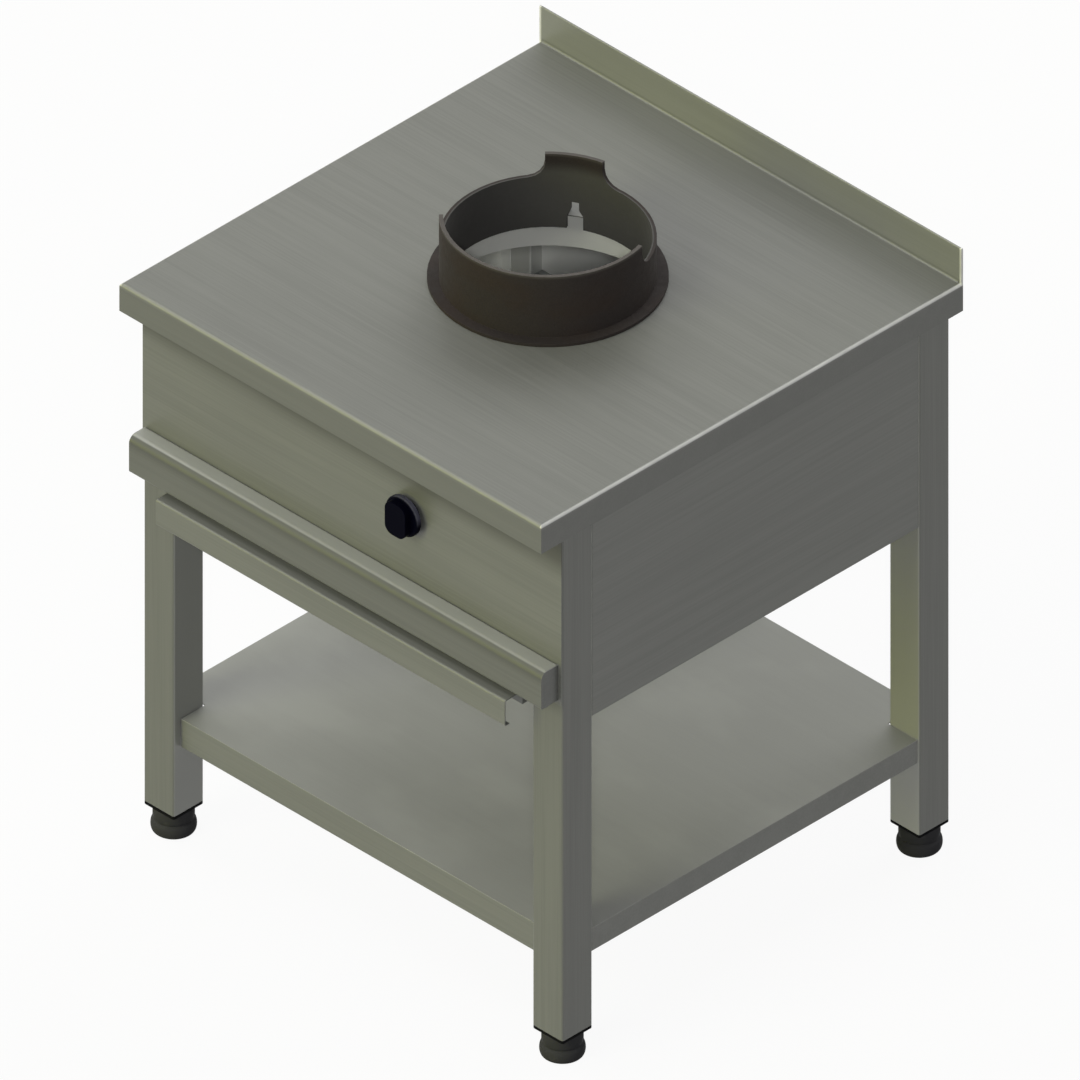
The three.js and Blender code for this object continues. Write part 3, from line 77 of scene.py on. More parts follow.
MM = 0.001
WELD = 1e-5  # points closer than this are one
FLAT = math.radians(0.6)  # faces that turn less than this are one
SHARP = math.radians(31)  # edges that turn more than this are rounded
SPECK = 2e-6  # edges shorter than this are closed up after the rounding
BEND_STEPS = 10
PIPE_SIDES = 24
SPIN_SEED = 7  # for how far each screw head is turned
CORNERS = ("front_left", "front_right", "rear_left", "rear_right")


def from_srgb(red: int, green: int, blue: int) -> Colour:
    """Gives a colour of a screen as the linear colour of a material.

    Args:
        red: Red, 0 to 255.
        green: Green, 0 to 255.
        blue: Blue, 0 to 255.

    Returns:
        The linear colour with full alpha.
    """
    linear = [
        c / 12.92 if c <= 0.04045 else ((c + 0.055) / 1.055) ** 2.4
        for c in (red / 255, green / 255, blue / 255)
    ]
    return (linear[0], linear[1], linear[2], 1.0)


def shaded(colour: Colour, factor: float) -> Colour:
    """Gives a lighter or darker shade of a colour.

    Args:
        colour: The colour to start from.
        factor: What its three channels are multiplied by.

    Returns:
        The new colour.
    """
    red, green, blue = (min(1.0, channel * factor) for channel in colour[:3])
    return (red, green, blue, 1.0)


# ---- Node trees ----


class Signal:
    """A number that comes out of a node, which can be added, multiplied and so on."""

    def __init__(self, bench: "Bench", socket: bpy.types.NodeSocket) -> None:
        """Wraps one output socket of a tree that the bench builds."""
        self.bench = bench
        self.socket = socket

    def __add__(self, other: "Signal | float") -> "Signal":
        """Sum."""
        return self.bench.math("ADD", self, other)

    def __radd__(self, other: float) -> "Signal":
        """Sum, with the number first."""
        return self.bench.math("ADD", other, self)

    def __sub__(self, other: "Signal | float") -> "Signal":
        """Difference."""
        return self.bench.math("SUBTRACT", self, other)

    def __rsub__(self, other: float) -> "Signal":
        """Difference, with the number first."""
        return self.bench.math("SUBTRACT", other, self)

    def __mul__(self, other: "Signal | float") -> "Signal":
        """Product."""
        return self.bench.math("MULTIPLY", self, other)

    def __rmul__(self, other: float) -> "Signal":
        """Product, with the number first."""
        return self.bench.math("MULTIPLY", other, self)

    def __abs__(self) -> "Signal":
        """Size without its sign."""
        return self.bench.math("ABSOLUTE", self)

    def or_more(self, other: "Signal | float") -> "Signal":
        """The larger of the two."""
        return self.bench.math("MAXIMUM", self, other)

    def eased(self, low: float, high: float) -> "Signal":
        """Maps the number with a smooth step, which falls where low is the larger.

        Args:
            low: Where the result is 0.
            high: Where the result is 1.

        Returns:
            The number mapped.
        """
        rising = low < high
        inputs = {"Value": self, "From Min": min(low, high), "From Max": max(low, high)}
        inputs |= {"To Min": 0.0 if rising else 1.0, "To Max": 1.0 if rising else 0.0}
        return self.bench.make("ShaderNodeMapRange", inputs, {"interpolation_type": "SMOOTHSTEP"})


class Bench:
    """Adds nodes to one tree: a material's, the world's or a Geometry Nodes group's."""

    def __init__(self, tree: bpy.types.NodeTree) -> None:
        """Starts with the tree emptied."""
        self.tree = tree
        tree.nodes.clear()

    def add(
        self, kind: str, inputs: dict[str | int, object], settings: Values | None = None
    ) -> bpy.types.Node:
        """Adds one node.

        Args:
            kind: The node's type.
            inputs: A value or a Signal for each socket named, or numbered.
            settings: Its own properties, which are set first.

        Returns:
            The node.
        """
        node = self.tree.nodes.new(kind)
        for name, value in (settings or {}).items():
            setattr(node, name, value)
        for key, value in inputs.items():
            if isinstance(value, Signal):
                self.tree.links.new(value.socket, node.inputs[key])
            else:
                node.inputs[key].default_value = value
        return node

    def make(
        self,
        kind: str,
        inputs: dict[str | int, object],
        settings: Values | None = None,
        output: str | int = 0,
    ) -> Signal:
        """Adds one node, and gives one of its outputs."""
        return Signal(self, self.add(kind, inputs, settings).outputs[output])

    def math(self, operation: str, *values: "Signal | float") -> Signal:
        """Does one sum on numbers.

        Args:
            operation: The Math node's operation.
            *values: Its inputs in order.

        Returns:
            The result.
        """
        return self.make("ShaderNodeMath", dict(enumerate(values)), {"operation": operation})

    def place(self) -> Signal:
        """The place on the object, in metres."""
        return self.make("ShaderNodeTexCoord", {}, output="Object")

    def noise(self, scale: float | Point, detail: float = 2.0) -> Signal:
        """A cloudy pattern.

        Args:
            scale: Clouds to a metre, for each axis where they differ.
            detail: How many finer layers it has.

        Returns:
            A number from about 0.3 to 0.7.
        """
        scales = scale if isinstance(scale, tuple) else (scale,) * 3
        place = self.make("ShaderNodeMapping", {"Vector": self.place(), "Scale": scales})
        inputs = {"Vector": place, "Scale": 1.0, "Detail": detail}
        return self.make("ShaderNodeTexNoise", inputs, output="Fac")

    def cells(self, scale: float) -> Signal:
        """A random grey for each cell of a crystal pattern.

        Args:
            scale: Cells to a metre.

        Returns:
            A number from 0 to 1.
        """
        inputs = {"Vector": self.place(), "Scale": scale}
        return self.make("ShaderNodeTexVoronoi", inputs, output="Color")

    def axes(self) -> tuple[Signal, Signal, Signal]:
        """The place on the object as three numbers."""
        x, y, z = self.add("ShaderNodeSeparateXYZ", {"Vector": self.place()}).outputs
        return Signal(self, x), Signal(self, y), Signal(self, z)

    def mix(self, factor: Signal, first: "Colour | Signal", second: "Colour | Signal") -> Signal:
        """Mixes two colours.

        Args:
            factor: 0 for the first, 1 for the second.
            first: The first colour.
            second: The second colour.

        Returns:
            The mixed colour.
        """
        settings = {"data_type": "RGBA", "clamp_factor": True}
        return self.make("ShaderNodeMix", {0: factor, 6: first, 7: second}, settings, 2)

    def bump(self, height: Signal, strength: float, distance: float) -> Signal:
        """Turns a height into a normal.

        Args:
            height: The height, about 0 to 1.
            strength: How much of it counts.
            distance: What a height of 1 is, in metres.

        Returns:
            The normal.
        """
        inputs = {"Height": height, "Strength": strength, "Distance": distance}
        return self.make("ShaderNodeBump", inputs)

    def shader(self, inputs: Values) -> None:
        """Ends a material's tree with one surface that has the inputs given."""
        surface = self.make("ShaderNodeBsdfPrincipled", inputs)
        self.add("ShaderNodeOutputMaterial", {"Surface": surface})


# ---- Finishes ----


class Grain(Enum):
    """Which way the polishing lines of a steel sheet or tube run."""

    SIDEWAYS = 0
    FRONT_TO_BACK = 1
    UPRIGHT = 2

    def scale(self, along: float, across: float) -> Point:
        """Gives the changes to a metre on each axis, from those along and across the lines."""
        return tuple(along if axis == self.value else across for axis in range(3))


@dataclass(frozen=True)
class Finish:
    """A surface finish, which makes one material."""

    slot: str
    name: str

    def dress(self, bench: Bench) -> Values:
        """Gives the inputs of the material's surface.

        Args:
            bench: Where the nodes are added.

        Returns:
            A value or a Signal for each input.
        """
        raise NotImplementedError

    def material(self) -> bpy.types.Material:
        """Makes the material.

        Returns:
            The new material.
        """
        material = bpy.data.materials.new(self.name)
        material.use_nodes = True
        bench = Bench(material.node_tree)
        bench.shader(self.dress(bench))
        return material


@dataclass(frozen=True)
class Patch:
    """A part of a surface that has another colour, inside bands along the axes, in metres.

    A band's mask rises from 0 at its first place to 1 at its second, and falls where the first is
    the larger. Bands across are measured from the middle of the range, to both sides alike.
    """

    colour: Colour
    share: float = 1.0  # how much of the colour shows
    across: tuple[Band, ...] = ()
    along: tuple[Band, ...] = ()
    upwards: tuple[Band, ...] = ()
    uneven: float = 0.0  # what soft clouds add to the share
    ragged: float = 0.0  # how far soft clouds move the bands upwards

    def mask(self, bench: Bench) -> Signal:
        """Gives how much of the colour shows.

        Args:
            bench: Where the nodes are added.

        Returns:
            The share inside every band, and 0 outside.
        """
        x, y, z = bench.axes()
        mask: Signal | float = self.share
        if self.uneven > 0:
            mask = mask + bench.noise((6.0, 9.0, 6.0), 4.0).eased(0.45, 0.7) * self.uneven
        if self.ragged > 0:
            z = z + bench.noise(9.0, 3.0) * self.ragged
        if self.across:
            x = abs(x)
        for place, bands in ((x, self.across), (y, self.along), (z, self.upwards)):
            for low, high in bands:
                mask = place.eased(low, high) * mask
        return mask


@dataclass(frozen=True)
class BrushedSteel(Finish):
    """Satin stainless steel with fine polishing lines, soft clouds and patches, many of them
    painted light and shade.
    """

    slot: str = "stainless_sheet"
    name: str = "brushed_steel"
    grain: Grain = Grain.SIDEWAYS
    colour: Colour = from_srgb(122, 123, 119)
    patches: tuple[Patch, ...] = ()
    metallic: float = 0.2
    roughness: float = 0.42
    gloss: float = 0.35

    def dress(self, bench: Bench) -> Values:
        """Gives the inputs of the material's surface.

        Args:
            bench: Where the nodes are added.

        Returns:
            A value or a Signal for each input.
        """
        lines = bench.noise(self.grain.scale(5.0, 420.0), 3.0)
        streaks = bench.noise(self.grain.scale(1.6, 60.0), 2.0)
        clouds = bench.noise(5.0, 3.0)
        smears = bench.noise((16.0, 13.0, 15.0), 4.0).eased(0.5, 0.68)
        tone = lines * 0.5 + streaks * 0.3 + clouds * 0.2
        light, dark = shaded(self.colour, 1.08), shaded(self.colour, 0.92)
        colour = bench.mix(tone.eased(0.34, 0.66), dark, light)
        for patch in self.patches:
            colour = bench.mix(patch.mask(bench), colour, patch.colour)
        rough = self.roughness + (lines - 0.5) * 0.16 + (clouds - 0.5) * 0.05 + smears * 0.02
        return {
            "Base Color": colour,
            "Metallic": self.metallic,
            "Roughness": rough,
            "Specular IOR Level": self.gloss,
            "Normal": bench.bump(lines * 0.8 + streaks * 0.2, 0.12, 0.0003),
        }


@dataclass(frozen=True)
class WorktopSteel(BrushedSteel):
    """The worktop's steel, with a painted highlight and less roughness along its upper edges."""

    name: str = "steel_worktop"
    edge_highlight: Colour = from_srgb(225, 225, 222)
    outer_edge: Band = (0.3462, 0.3482)
    upper_edge: Band = (0.7955, 0.7975)
    front_share: float = 0.12

    def dress(self, bench: Bench) -> Values:
        """Gives the inputs of the material's surface.

        Args:
            bench: Where the nodes are added.

        Returns:
            A value or a Signal for each input.
        """
        inputs = super().dress(bench)
        x, y, z = bench.axes()
        sides = abs(x).eased(*self.outer_edge)
        front = (0.0 - y).eased(*self.outer_edge) * self.front_share
        patchy = 0.55 + bench.noise(30.0, 2.0) * 0.6
        # painted highlight along the upper edges of the sides and, more faintly, the front
        edge_highlight_mask = sides.or_more(front) * z.eased(*self.upper_edge) * patchy
        inputs["Base Color"] = bench.mix(edge_highlight_mask, inputs["Base Color"], self.edge_highlight)
        inputs["Roughness"] = inputs["Roughness"] - edge_highlight_mask * 0.1
        return inputs


@dataclass(frozen=True)
class ZincPlate(Finish):
    """Zinc-plated steel with faint crystals and dull spots."""

    slot: str = "zinc_plated_steel"
    name: str = "zinc_plate"
    colour: Colour = from_srgb(150, 152, 152)

    def dress(self, bench: Bench) -> Values:
        """Gives the inputs of the material's surface.

        Args:
            bench: Where the nodes are added.

        Returns:
            A value or a Signal for each input.
        """
        crystals = bench.cells(90.0)
        spots = bench.noise(40.0, 4.0).eased(0.52, 0.7)
        colour = bench.mix(crystals, shaded(self.colour, 0.88), shaded(self.colour, 1.1))
        return {
            "Base Color": bench.mix(spots * 0.4, colour, shaded(self.colour, 0.6)),
            "Metallic": 0.7,
            "Roughness": 0.34 + crystals * 0.1 + spots * 0.2,
            "Normal": bench.bump(bench.noise(700.0), 0.15, 0.0002),
        }


@dataclass(frozen=True)
class CastIron(Finish):
    """Sand-cast iron: a coarse skin with fine grain and brown bloom."""

    slot: str = "cast_iron"
    name: str = "cast_iron"
    colour: Colour = from_srgb(47, 42, 40)
    rust: Colour = from_srgb(50, 40, 34)

    def skin(self, bench: Bench) -> Signal:
        """The coarse pattern that the sand leaves."""
        return bench.noise(90.0, 3.0)

    def dress(self, bench: Bench) -> Values:
        """Gives the inputs of the material's surface.

        Args:
            bench: Where the nodes are added.

        Returns:
            A value or a Signal for each input.
        """
        grain = bench.noise(520.0, 3.0)
        skin = self.skin(bench)
        bloom = bench.noise((14.0, 14.0, 22.0), 4.0).eased(0.45, 0.7)
        colour = bench.mix(grain, shaded(self.colour, 0.7), shaded(self.colour, 1.3))
        return {
            "Base Color": bench.mix(bloom * 0.5, colour, self.rust),
            "Metallic": 0.35,
            "Roughness": 0.72 + (skin - 0.5) * 0.3,
            "Specular IOR Level": 0.3,
            "Normal": bench.bump(grain * 0.5 + skin, 0.5, 0.0006),
        }


@dataclass(frozen=True)
class RingIron(CastIron):
    """The wok ring's iron, with painted light inside its bore, and worn on top by the wok."""

    name: str = "ring_iron"
    bore_light: Colour = from_srgb(76, 75, 73)
    bare: Colour = from_srgb(84, 80, 76)
    axis: tuple[float, float] = (-0.002, 0.013)
    bore: Band = (0.125, 0.124)
    bore_light_top: Band = (0.882, 0.862)
    wok_seat: Band = (0.886, 0.8915)

    def dress(self, bench: Bench) -> Values:
        """Gives the inputs of the material's surface.

        Args:
            bench: Where the nodes are added.

        Returns:
            A value or a Signal for each input.
        """
        inputs = super().dress(bench)
        x, y, z = bench.axes()
        across, along = x - self.axis[0], y - self.axis[1]
        edge, inside = self.bore
        within = (across * across + along * along).eased(edge**2, inside**2)
        # painted light: a lighter grey on the bore's inner wall, below its top
        colour = bench.mix(within * z.eased(*self.bore_light_top), inputs["Base Color"], self.bore_light)
        wear_and_highlight = z.eased(*self.wok_seat) * (0.4 + self.skin(bench) * 0.8)
        inputs["Base Color"] = bench.mix(wear_and_highlight, colour, self.bare)
        inputs["Roughness"] = inputs["Roughness"] - wear_and_highlight * 0.2
        return inputs


@dataclass(frozen=True)
class TurnedMetal(Finish):
    """Brass or copper with a patchy tarnish."""

    slot: str = "brass"
    name: str = "brass"
    colour: Colour = from_srgb(190, 155, 88)
    tarnish: Colour = from_srgb(108, 84, 46)

    def dress(self, bench: Bench) -> Values:
        """Gives the inputs of the material's surface.

        Args:
            bench: Where the nodes are added.

        Returns:
            A value or a Signal for each input.
        """
        fine = bench.noise(260.0, 3.0)
        patches = bench.noise(24.0, 4.0).eased(0.42, 0.68)
        dulled = patches * 0.7 + (fine - 0.5) * 0.3
        return {
            "Base Color": bench.mix(dulled, self.colour, self.tarnish),
            "Metallic": 0.85,
            "Roughness": 0.28 + patches * 0.25,
            "Normal": bench.bump(fine, 0.1, 0.0003),
        }


@dataclass(frozen=True)
class MouldedPlastic(Finish):
    """Moulded plastic with a fine grain and slight scuffs."""

    slot: str = "black_plastic"
    name: str = "black_plastic"
    colour: Colour = (0.0016, 0.0017, 0.0062, 1.0)
    scuffs: Colour = from_srgb(24, 25, 30)
    roughness: float = 0.42
    gloss: float = 0.012

    def dress(self, bench: Bench) -> Values:
        """Gives the inputs of the material's surface.

        Args:
            bench: Where the nodes are added.

        Returns:
            A value or a Signal for each input.
        """
        fine = bench.noise(1500.0, 2.0)
        scuffed = bench.noise(60.0, 5.0).eased(0.6, 0.78)
        return {
            "Base Color": bench.mix(scuffed * 0.35, self.colour, self.scuffs),
            "Metallic": 0.0,
            "Roughness": self.roughness + (fine - 0.5) * 0.12 + scuffed * 0.15,
            "Specular IOR Level": self.gloss,
            "Normal": bench.bump(fine, 0.2, 0.0002),
        }


@dataclass(frozen=True)
class KnobPlastic(MouldedPlastic):
    """The knob's black plastic, with a painted grey highlight on the upper right of its skirt."""

    name: str = "knob_plastic"
    highlight_colour: Colour = from_srgb(92, 92, 108)
    axis: tuple[float, float] = (0.094, 0.674)
    skirt_edge: Band = (25.11 * MM, 26.595 * MM)
    highlight_reach: Band = (0.008, 0.024)

    def dress(self, bench: Bench) -> Values:
        """Gives the inputs of the material's surface.

        Args:
            bench: Where the nodes are added.

        Returns:
            A value or a Signal for each input.
        """
        inputs = super().dress(bench)
        x, _, z = bench.axes()
        across, upwards = x - self.axis[0], z - self.axis[1]
        inner, outer = self.skirt_edge
        edge = (across * across + upwards * upwards).eased(inner**2, outer**2)
        patchy = 0.4 + bench.noise(160.0, 3.0) * 0.6
        # painted highlight on the skirt's edge, on its upper right
        wear_and_highlight = edge * (upwards + across * 0.5).eased(*self.highlight_reach) * patchy
        inputs["Base Color"] = bench.mix(wear_and_highlight, inputs["Base Color"], self.highlight_colour)
        return inputs


STEEL = BrushedSteel.colour
CASING_INSIDE_PAINTED_LIGHT = Patch(  # painted light on the steel that faces into the casing, where shade falls
    from_srgb(235, 236, 230),
    across=((0.3462, 0.3455),),
    along=((-0.3119, -0.3112), (0.2995, 0.2985)),
    upwards=((0.48, 0.486),),
)
WORKTOP_RIM = Patch(shaded(STEEL, 0.6), 0.4, upwards=((0.797, 0.791),))  # darker on the worktop's rim below its top edge
UPSTAND = Patch(shaded(STEEL, 1.6), 0.4, upwards=((0.803, 0.807),))  # lighter on the upstand above the worktop's top face
# painted shade under the worktop's overhang, down to a ragged edge
UNDER_OVERHANG_PAINTED_SHADE = Patch(from_srgb(72, 72, 64), 0.75, upwards=((0.706, 0.738),), ragged=0.012)
RAIL_BEND_PAINTED_SHADE = Patch(  # painted shade in the guard rail's bend
    from_srgb(84, 85, 79),
    0.7,
    across=((0.3418, 0.3412),),
    upwards=((0.558, 0.573), (0.5794, 0.5782)),
)
RAIL_TOP_PAINTED_LIGHT = Patch(from_srgb(162, 163, 159), upwards=((0.5782, 0.5794),))  # painted light on the guard rail's top
# painted light on the shelf's top face, which the casing shades, made uneven by soft clouds
SHELF_FACE_PAINTED_LIGHT = Patch(from_srgb(166, 167, 162), 0.58, upwards=((0.175, 0.1758),), uneven=0.15)
# painted light on the legs' faces that look in over the shelf, where shade falls
LEG_INNER_SIDES_PAINTED_LIGHT = Patch(from_srgb(158, 159, 155), 0.7, across=((0.2986, 0.2978),))
# painted light on the rear legs' front faces, in the casing's shade
REAR_LEG_FRONTS_PAINTED_LIGHT = Patch(from_srgb(182, 183, 176), 0.7, along=((0.1, 0.2), (0.2811, 0.2803)))

SHEET = BrushedSteel(name="steel_sheet_sideways")
CASED_SHEET = BrushedSteel(name="steel_cased_sideways", patches=(CASING_INSIDE_PAINTED_LIGHT,))
CASED_SHEET_DEEP = BrushedSteel(
    name="steel_cased_deep", grain=Grain.FRONT_TO_BACK, patches=(CASING_INSIDE_PAINTED_LIGHT,)
)
SHELF_SHEET = BrushedSteel(name="steel_shelf", patches=(SHELF_FACE_PAINTED_LIGHT,))
# the rail's steel is painted darker than the other steel, as shade on its face
RAIL_SHEET = BrushedSteel(
    name="steel_rail", colour=from_srgb(109, 110, 107), patches=(RAIL_BEND_PAINTED_SHADE, RAIL_TOP_PAINTED_LIGHT)
)
APRON_SHEET = BrushedSteel(name="steel_apron", patches=(UNDER_OVERHANG_PAINTED_SHADE,))
TOP_SHEET = WorktopSteel(patches=(WORKTOP_RIM, UPSTAND))
# the legs' steel is painted a little darker than the other steel and tubes, as shade
TUBE_UPRIGHT = BrushedSteel(
    "stainless_tube",
    "steel_tube_upright",
    Grain.UPRIGHT,
    from_srgb(116, 117, 113),
    (CASING_INSIDE_PAINTED_LIGHT, LEG_INNER_SIDES_PAINTED_LIGHT, REAR_LEG_FRONTS_PAINTED_LIGHT),
)
TUBE_DEEP = BrushedSteel("stainless_tube", "steel_tube_deep", Grain.FRONT_TO_BACK)
TUBE_SIDEWAYS = BrushedSteel("stainless_tube", "steel_tube_sideways", Grain.SIDEWAYS)
ZINC = ZincPlate()
RING_IRON = RingIron()
BURNER_IRON = CastIron(name="burner_iron", colour=from_srgb(72, 68, 64))
BRASS = TurnedMetal()
COPPER = TurnedMetal("copper_pipe", "copper", from_srgb(196, 128, 96), from_srgb(104, 62, 44))
KNOB_PLASTIC = KnobPlastic()
BEZEL_PLASTIC = MouldedPlastic()
INSERT_PLASTIC = MouldedPlastic(name="insert_plastic", colour=from_srgb(24, 24, 25), roughness=0.5)
FOOT_PLASTIC = MouldedPlastic(
    "foot_plastic", "foot_plastic", from_srgb(64, 64, 66), from_srgb(96, 96, 94), 0.5
)


# ---- Meshes ----


@dataclass(frozen=True)
class Part:
    """One CAD node shown with rounded edges."""

    node: str
    finish: Finish
    edge: float = 0.4 * MM
    steps: int = 2


def put(name: str, data: bpy.types.ID) -> bpy.types.Object:
    """Puts a mesh, a lamp or a camera into the scene as an object at the origin.

    Args:
        name: The object's name.
        data: What it shows.

    Returns:
        The object.
    """
    thing = bpy.data.objects.new(name, data)
    bpy.context.scene.collection.objects.link(thing)
    return thing


def lathe(profile: Profile, sides: int) -> bpy.types.Mesh:
    """Turns a profile about the Z axis into a closed mesh.

    Args:
        profile: Points of radius and height, from the axis round to the axis.
        sides: Faces round the axis.

    Returns:
        The mesh, with smooth faces that point outwards.
    """
    shape = bmesh.new()
    rings: list[list[bmesh.types.BMVert]] = []
    for radius, height in profile:
        count = sides if radius > 0 else 1
        turns = [2 * math.pi * i / count for i in range(count)]
        rings.append(
            [shape.verts.new((radius * math.cos(t), radius * math.sin(t), height)) for t in turns]
        )
    for low, high in zip(rings, rings[1:]):
        for i in range(sides):
            j = (i + 1) % sides
            around = ((low, i), (low, j), (high, j), (high, i))
            corners = [ring[k % len(ring)] for ring, k in around]
            shape.faces.new(list(dict.fromkeys(corners)))
    bmesh.ops.recalc_face_normals(shape, faces=shape.faces)
    for face in shape.faces:
        face.smooth = True
    mesh = bpy.data.meshes.new("turned")
    shape.to_mesh(mesh)
    shape.free()
    return mesh


class Workshop:
    """Makes meshes from CAD nodes and node trees, dresses them, and hands them to the frame."""

    def __init__(self, nodes: dict[str, bpy.types.Object]) -> None:
        """Starts with the frame's CAD nodes and no finish made."""
        self.nodes = nodes
        self.stock: dict[Finish, bpy.types.Material] = {}

    def material(self, finish: Finish) -> bpy.types.Material:
        """Gives a finish's material, made at its first use.

        Args:
            finish: The finish.

        Returns:
            Its material.
        """
        if finish not in self.stock:
            self.stock[finish] = finish.material()
        return self.stock[finish]

    def plain(self, piece: bpy.types.Object) -> bpy.types.Object:
        """Turns a piece and its modifiers into a plain mesh.

        Args:
            piece: The piece, with its modifiers.

        Returns:
            The same piece without modifiers.
        """
        depsgraph = bpy.context.evaluated_depsgraph_get()
        made = bpy.data.meshes.new_from_object(
            piece.evaluated_get(depsgraph), preserve_all_data_layers=True, depsgraph=depsgraph
        )
        piece.modifiers.clear()
        piece.data = made
        return piece

    def grown(
        self, piece: bpy.types.Object, tree: bpy.types.NodeTree, values: Values
    ) -> bpy.types.Object:
        """Runs a Geometry Nodes tree on a piece.

        Args:
            piece: The piece whose mesh goes in.
            tree: The tree.
            values: The tree's inputs by name.

        Returns:
            The same piece with the result as a plain mesh.
        """
        modifier = piece.modifiers.new(tree.name, "NODES")
        modifier.node_group = tree
        for item in tree.interface.items_tree:
            if item.name in values:
                modifier[item.identifier] = values[item.name]
        return self.plain(piece)

    def rounded(self, part: Part) -> bpy.types.Object:
        """Copies a CAD node with its sharp edges rounded and its shading even.

        Args:
            part: The node, and how its edges are rounded.

        Returns:
            The new piece.
        """
        shape = bmesh.new()
        shape.from_mesh(self.nodes[part.node].data)
        bmesh.ops.remove_doubles(shape, verts=shape.verts, dist=WELD)
        bmesh.ops.dissolve_limit(shape, angle_limit=FLAT, verts=shape.verts, edges=shape.edges)
        sharp = [e for e in shape.edges if e.is_manifold and e.calc_face_angle() > SHARP]
        bmesh.ops.bevel(
            shape,
            geom=sharp,
            offset=part.edge,
            offset_type="OFFSET",
            segments=part.steps,
            profile=0.5,
            affect="EDGES",
            clamp_overlap=True,
        )
        bmesh.ops.dissolve_degenerate(shape, edges=shape.edges, dist=SPECK)
        for face in shape.faces:
            face.smooth = True
        mesh = bpy.data.meshes.new(part.node)
        shape.to_mesh(mesh)
        shape.free()
        piece = put(part.node + "_finished", mesh)
        even = piece.modifiers.new("even_shading", "WEIGHTED_NORMAL")
        even.keep_sharp = False
        return self.plain(piece)

    def keep(
        self, piece: bpy.types.Object, finish: Finish, body: str, nodes: Sequence[str] = ()
    ) -> None:
        """Dresses a finished piece and hands it to the frame.

        Args:
            piece: The piece, at the origin.
            finish: Its finish.
            body: The body that it rides on.
            nodes: The CAD nodes that it stands for.
        """
        mesh = piece.data
        mesh.materials.clear()
        mesh.materials.append(self.material(finish))
        mesh.polygons.foreach_set("material_index", [0] * len(mesh.polygons))
        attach(piece, body)
        if nodes:
            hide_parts(*nodes)
        log.info("%s rides on %s with %d faces", piece.name, body, len(mesh.polygons))

    def keep_part(self, part: Part) -> None:
        """Rounds a CAD node, and puts the result in its place."""
        body = self.nodes[part.node]["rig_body"]
        self.keep(self.rounded(part), part.finish, body, [part.node])


# ---- Geometry Nodes trees ----


class Tree(Bench):
    """A Geometry Nodes group with named inputs."""

    def __init__(self, name: str, inputs: dict[str, str]) -> None:
        """Makes the group.

        Args:
            name: The group's name.
            inputs: Each input's kind by name, apart from the geometry.
        """
        super().__init__(bpy.data.node_groups.new(name, "GeometryNodeTree"))
        face = self.tree.interface
        face.new_socket("Geometry", in_out="OUTPUT", socket_type="NodeSocketGeometry")
        for key, kind in {"Geometry": "Geometry", **inputs}.items():
            face.new_socket(key, in_out="INPUT", socket_type="NodeSocket" + kind)
        self.entry = self.add("NodeGroupInput", {})

    def given(self, name: str) -> Signal:
        """One of the group's inputs."""
        return Signal(self, self.entry.outputs[name])

    def end(self, shape: Signal) -> bpy.types.NodeTree:
        """Makes the result real, gives it its material, and closes the group.

        Args:
            shape: The geometry, instances among it.

        Returns:
            The finished tree.
        """
        real = self.make("GeometryNodeRealizeInstances", {"Geometry": shape})
        smooth = self.make("GeometryNodeSetShadeSmooth", {"Geometry": real})
        inputs = {"Geometry": smooth, "Material": self.given("Finish")}
        dressed = self.make("GeometryNodeSetMaterial", inputs)
        self.add("NodeGroupOutput", {"Geometry": dressed})
        return self.tree


def pipe_tree() -> bpy.types.NodeTree:
    """Makes the tree that runs a round pipe along a line of corners, with a bend at each.

    Returns:
        The tree.
    """
    tree = Tree("bent_pipe", {"Radius": "Float", "Bend Radius": "Float", "Finish": "Material"})
    line = tree.make("GeometryNodeMeshToCurve", {"Mesh": tree.given("Geometry")})
    bends = {
        "Curve": line,
        "Count": BEND_STEPS,
        "Radius": tree.given("Bend Radius"),
        "Limit Radius": True,
    }
    route = tree.make("GeometryNodeFilletCurve", bends, {"mode": "POLY"})
    circle = {"Resolution": PIPE_SIDES, "Radius": tree.given("Radius")}
    section = tree.make("GeometryNodeCurvePrimitiveCircle", circle)
    swept = {"Curve": route, "Profile Curve": section, "Fill Caps": True}
    return tree.end(tree.make("GeometryNodeCurveToMesh", swept))


def fastener_tree() -> bpy.types.NodeTree:
    """Makes the tree that sets a head on every point, along the point's own direction.

    Each head is turned about its own axis by a random angle, as a fitter leaves it.

    Returns:
        The tree.
    """
    tree = Tree("fasteners", {"Head": "Object", "Head Radius": "Float", "Finish": "Material"})
    source = {"Object": tree.given("Head"), "As Instance": True}
    head = tree.make("GeometryNodeObjectInfo", source, output="Geometry")
    facing = tree.make(
        "GeometryNodeInputNamedAttribute", {"Name": "facing"}, {"data_type": "FLOAT_VECTOR"}
    )
    aligned = tree.make("FunctionNodeAlignRotationToVector", {"Vector": facing}, {"axis": "Z"})
    angles = {"Min": 0.0, "Max": 2 * math.pi, "Seed": SPIN_SEED}
    angle = tree.make("FunctionNodeRandomValue", angles, {"data_type": "FLOAT"}, 1)
    about = {"Axis": (0.0, 0.0, 1.0), "Angle": angle}
    spin = tree.make("FunctionNodeAxisAngleToRotation", about)
    rotations = {"Rotation": aligned, "Rotate By": spin}
    turned = tree.make("FunctionNodeRotateRotation", rotations, {"rotation_space": "LOCAL"})
    inputs = {
        "Points": tree.given("Geometry"),
        "Instance": head,
        "Rotation": turned,
        "Scale": tree.given("Head Radius"),
    }
    return tree.end(tree.make("GeometryNodeInstanceOnPoints", inputs))


# ---- Sub-assemblies ----


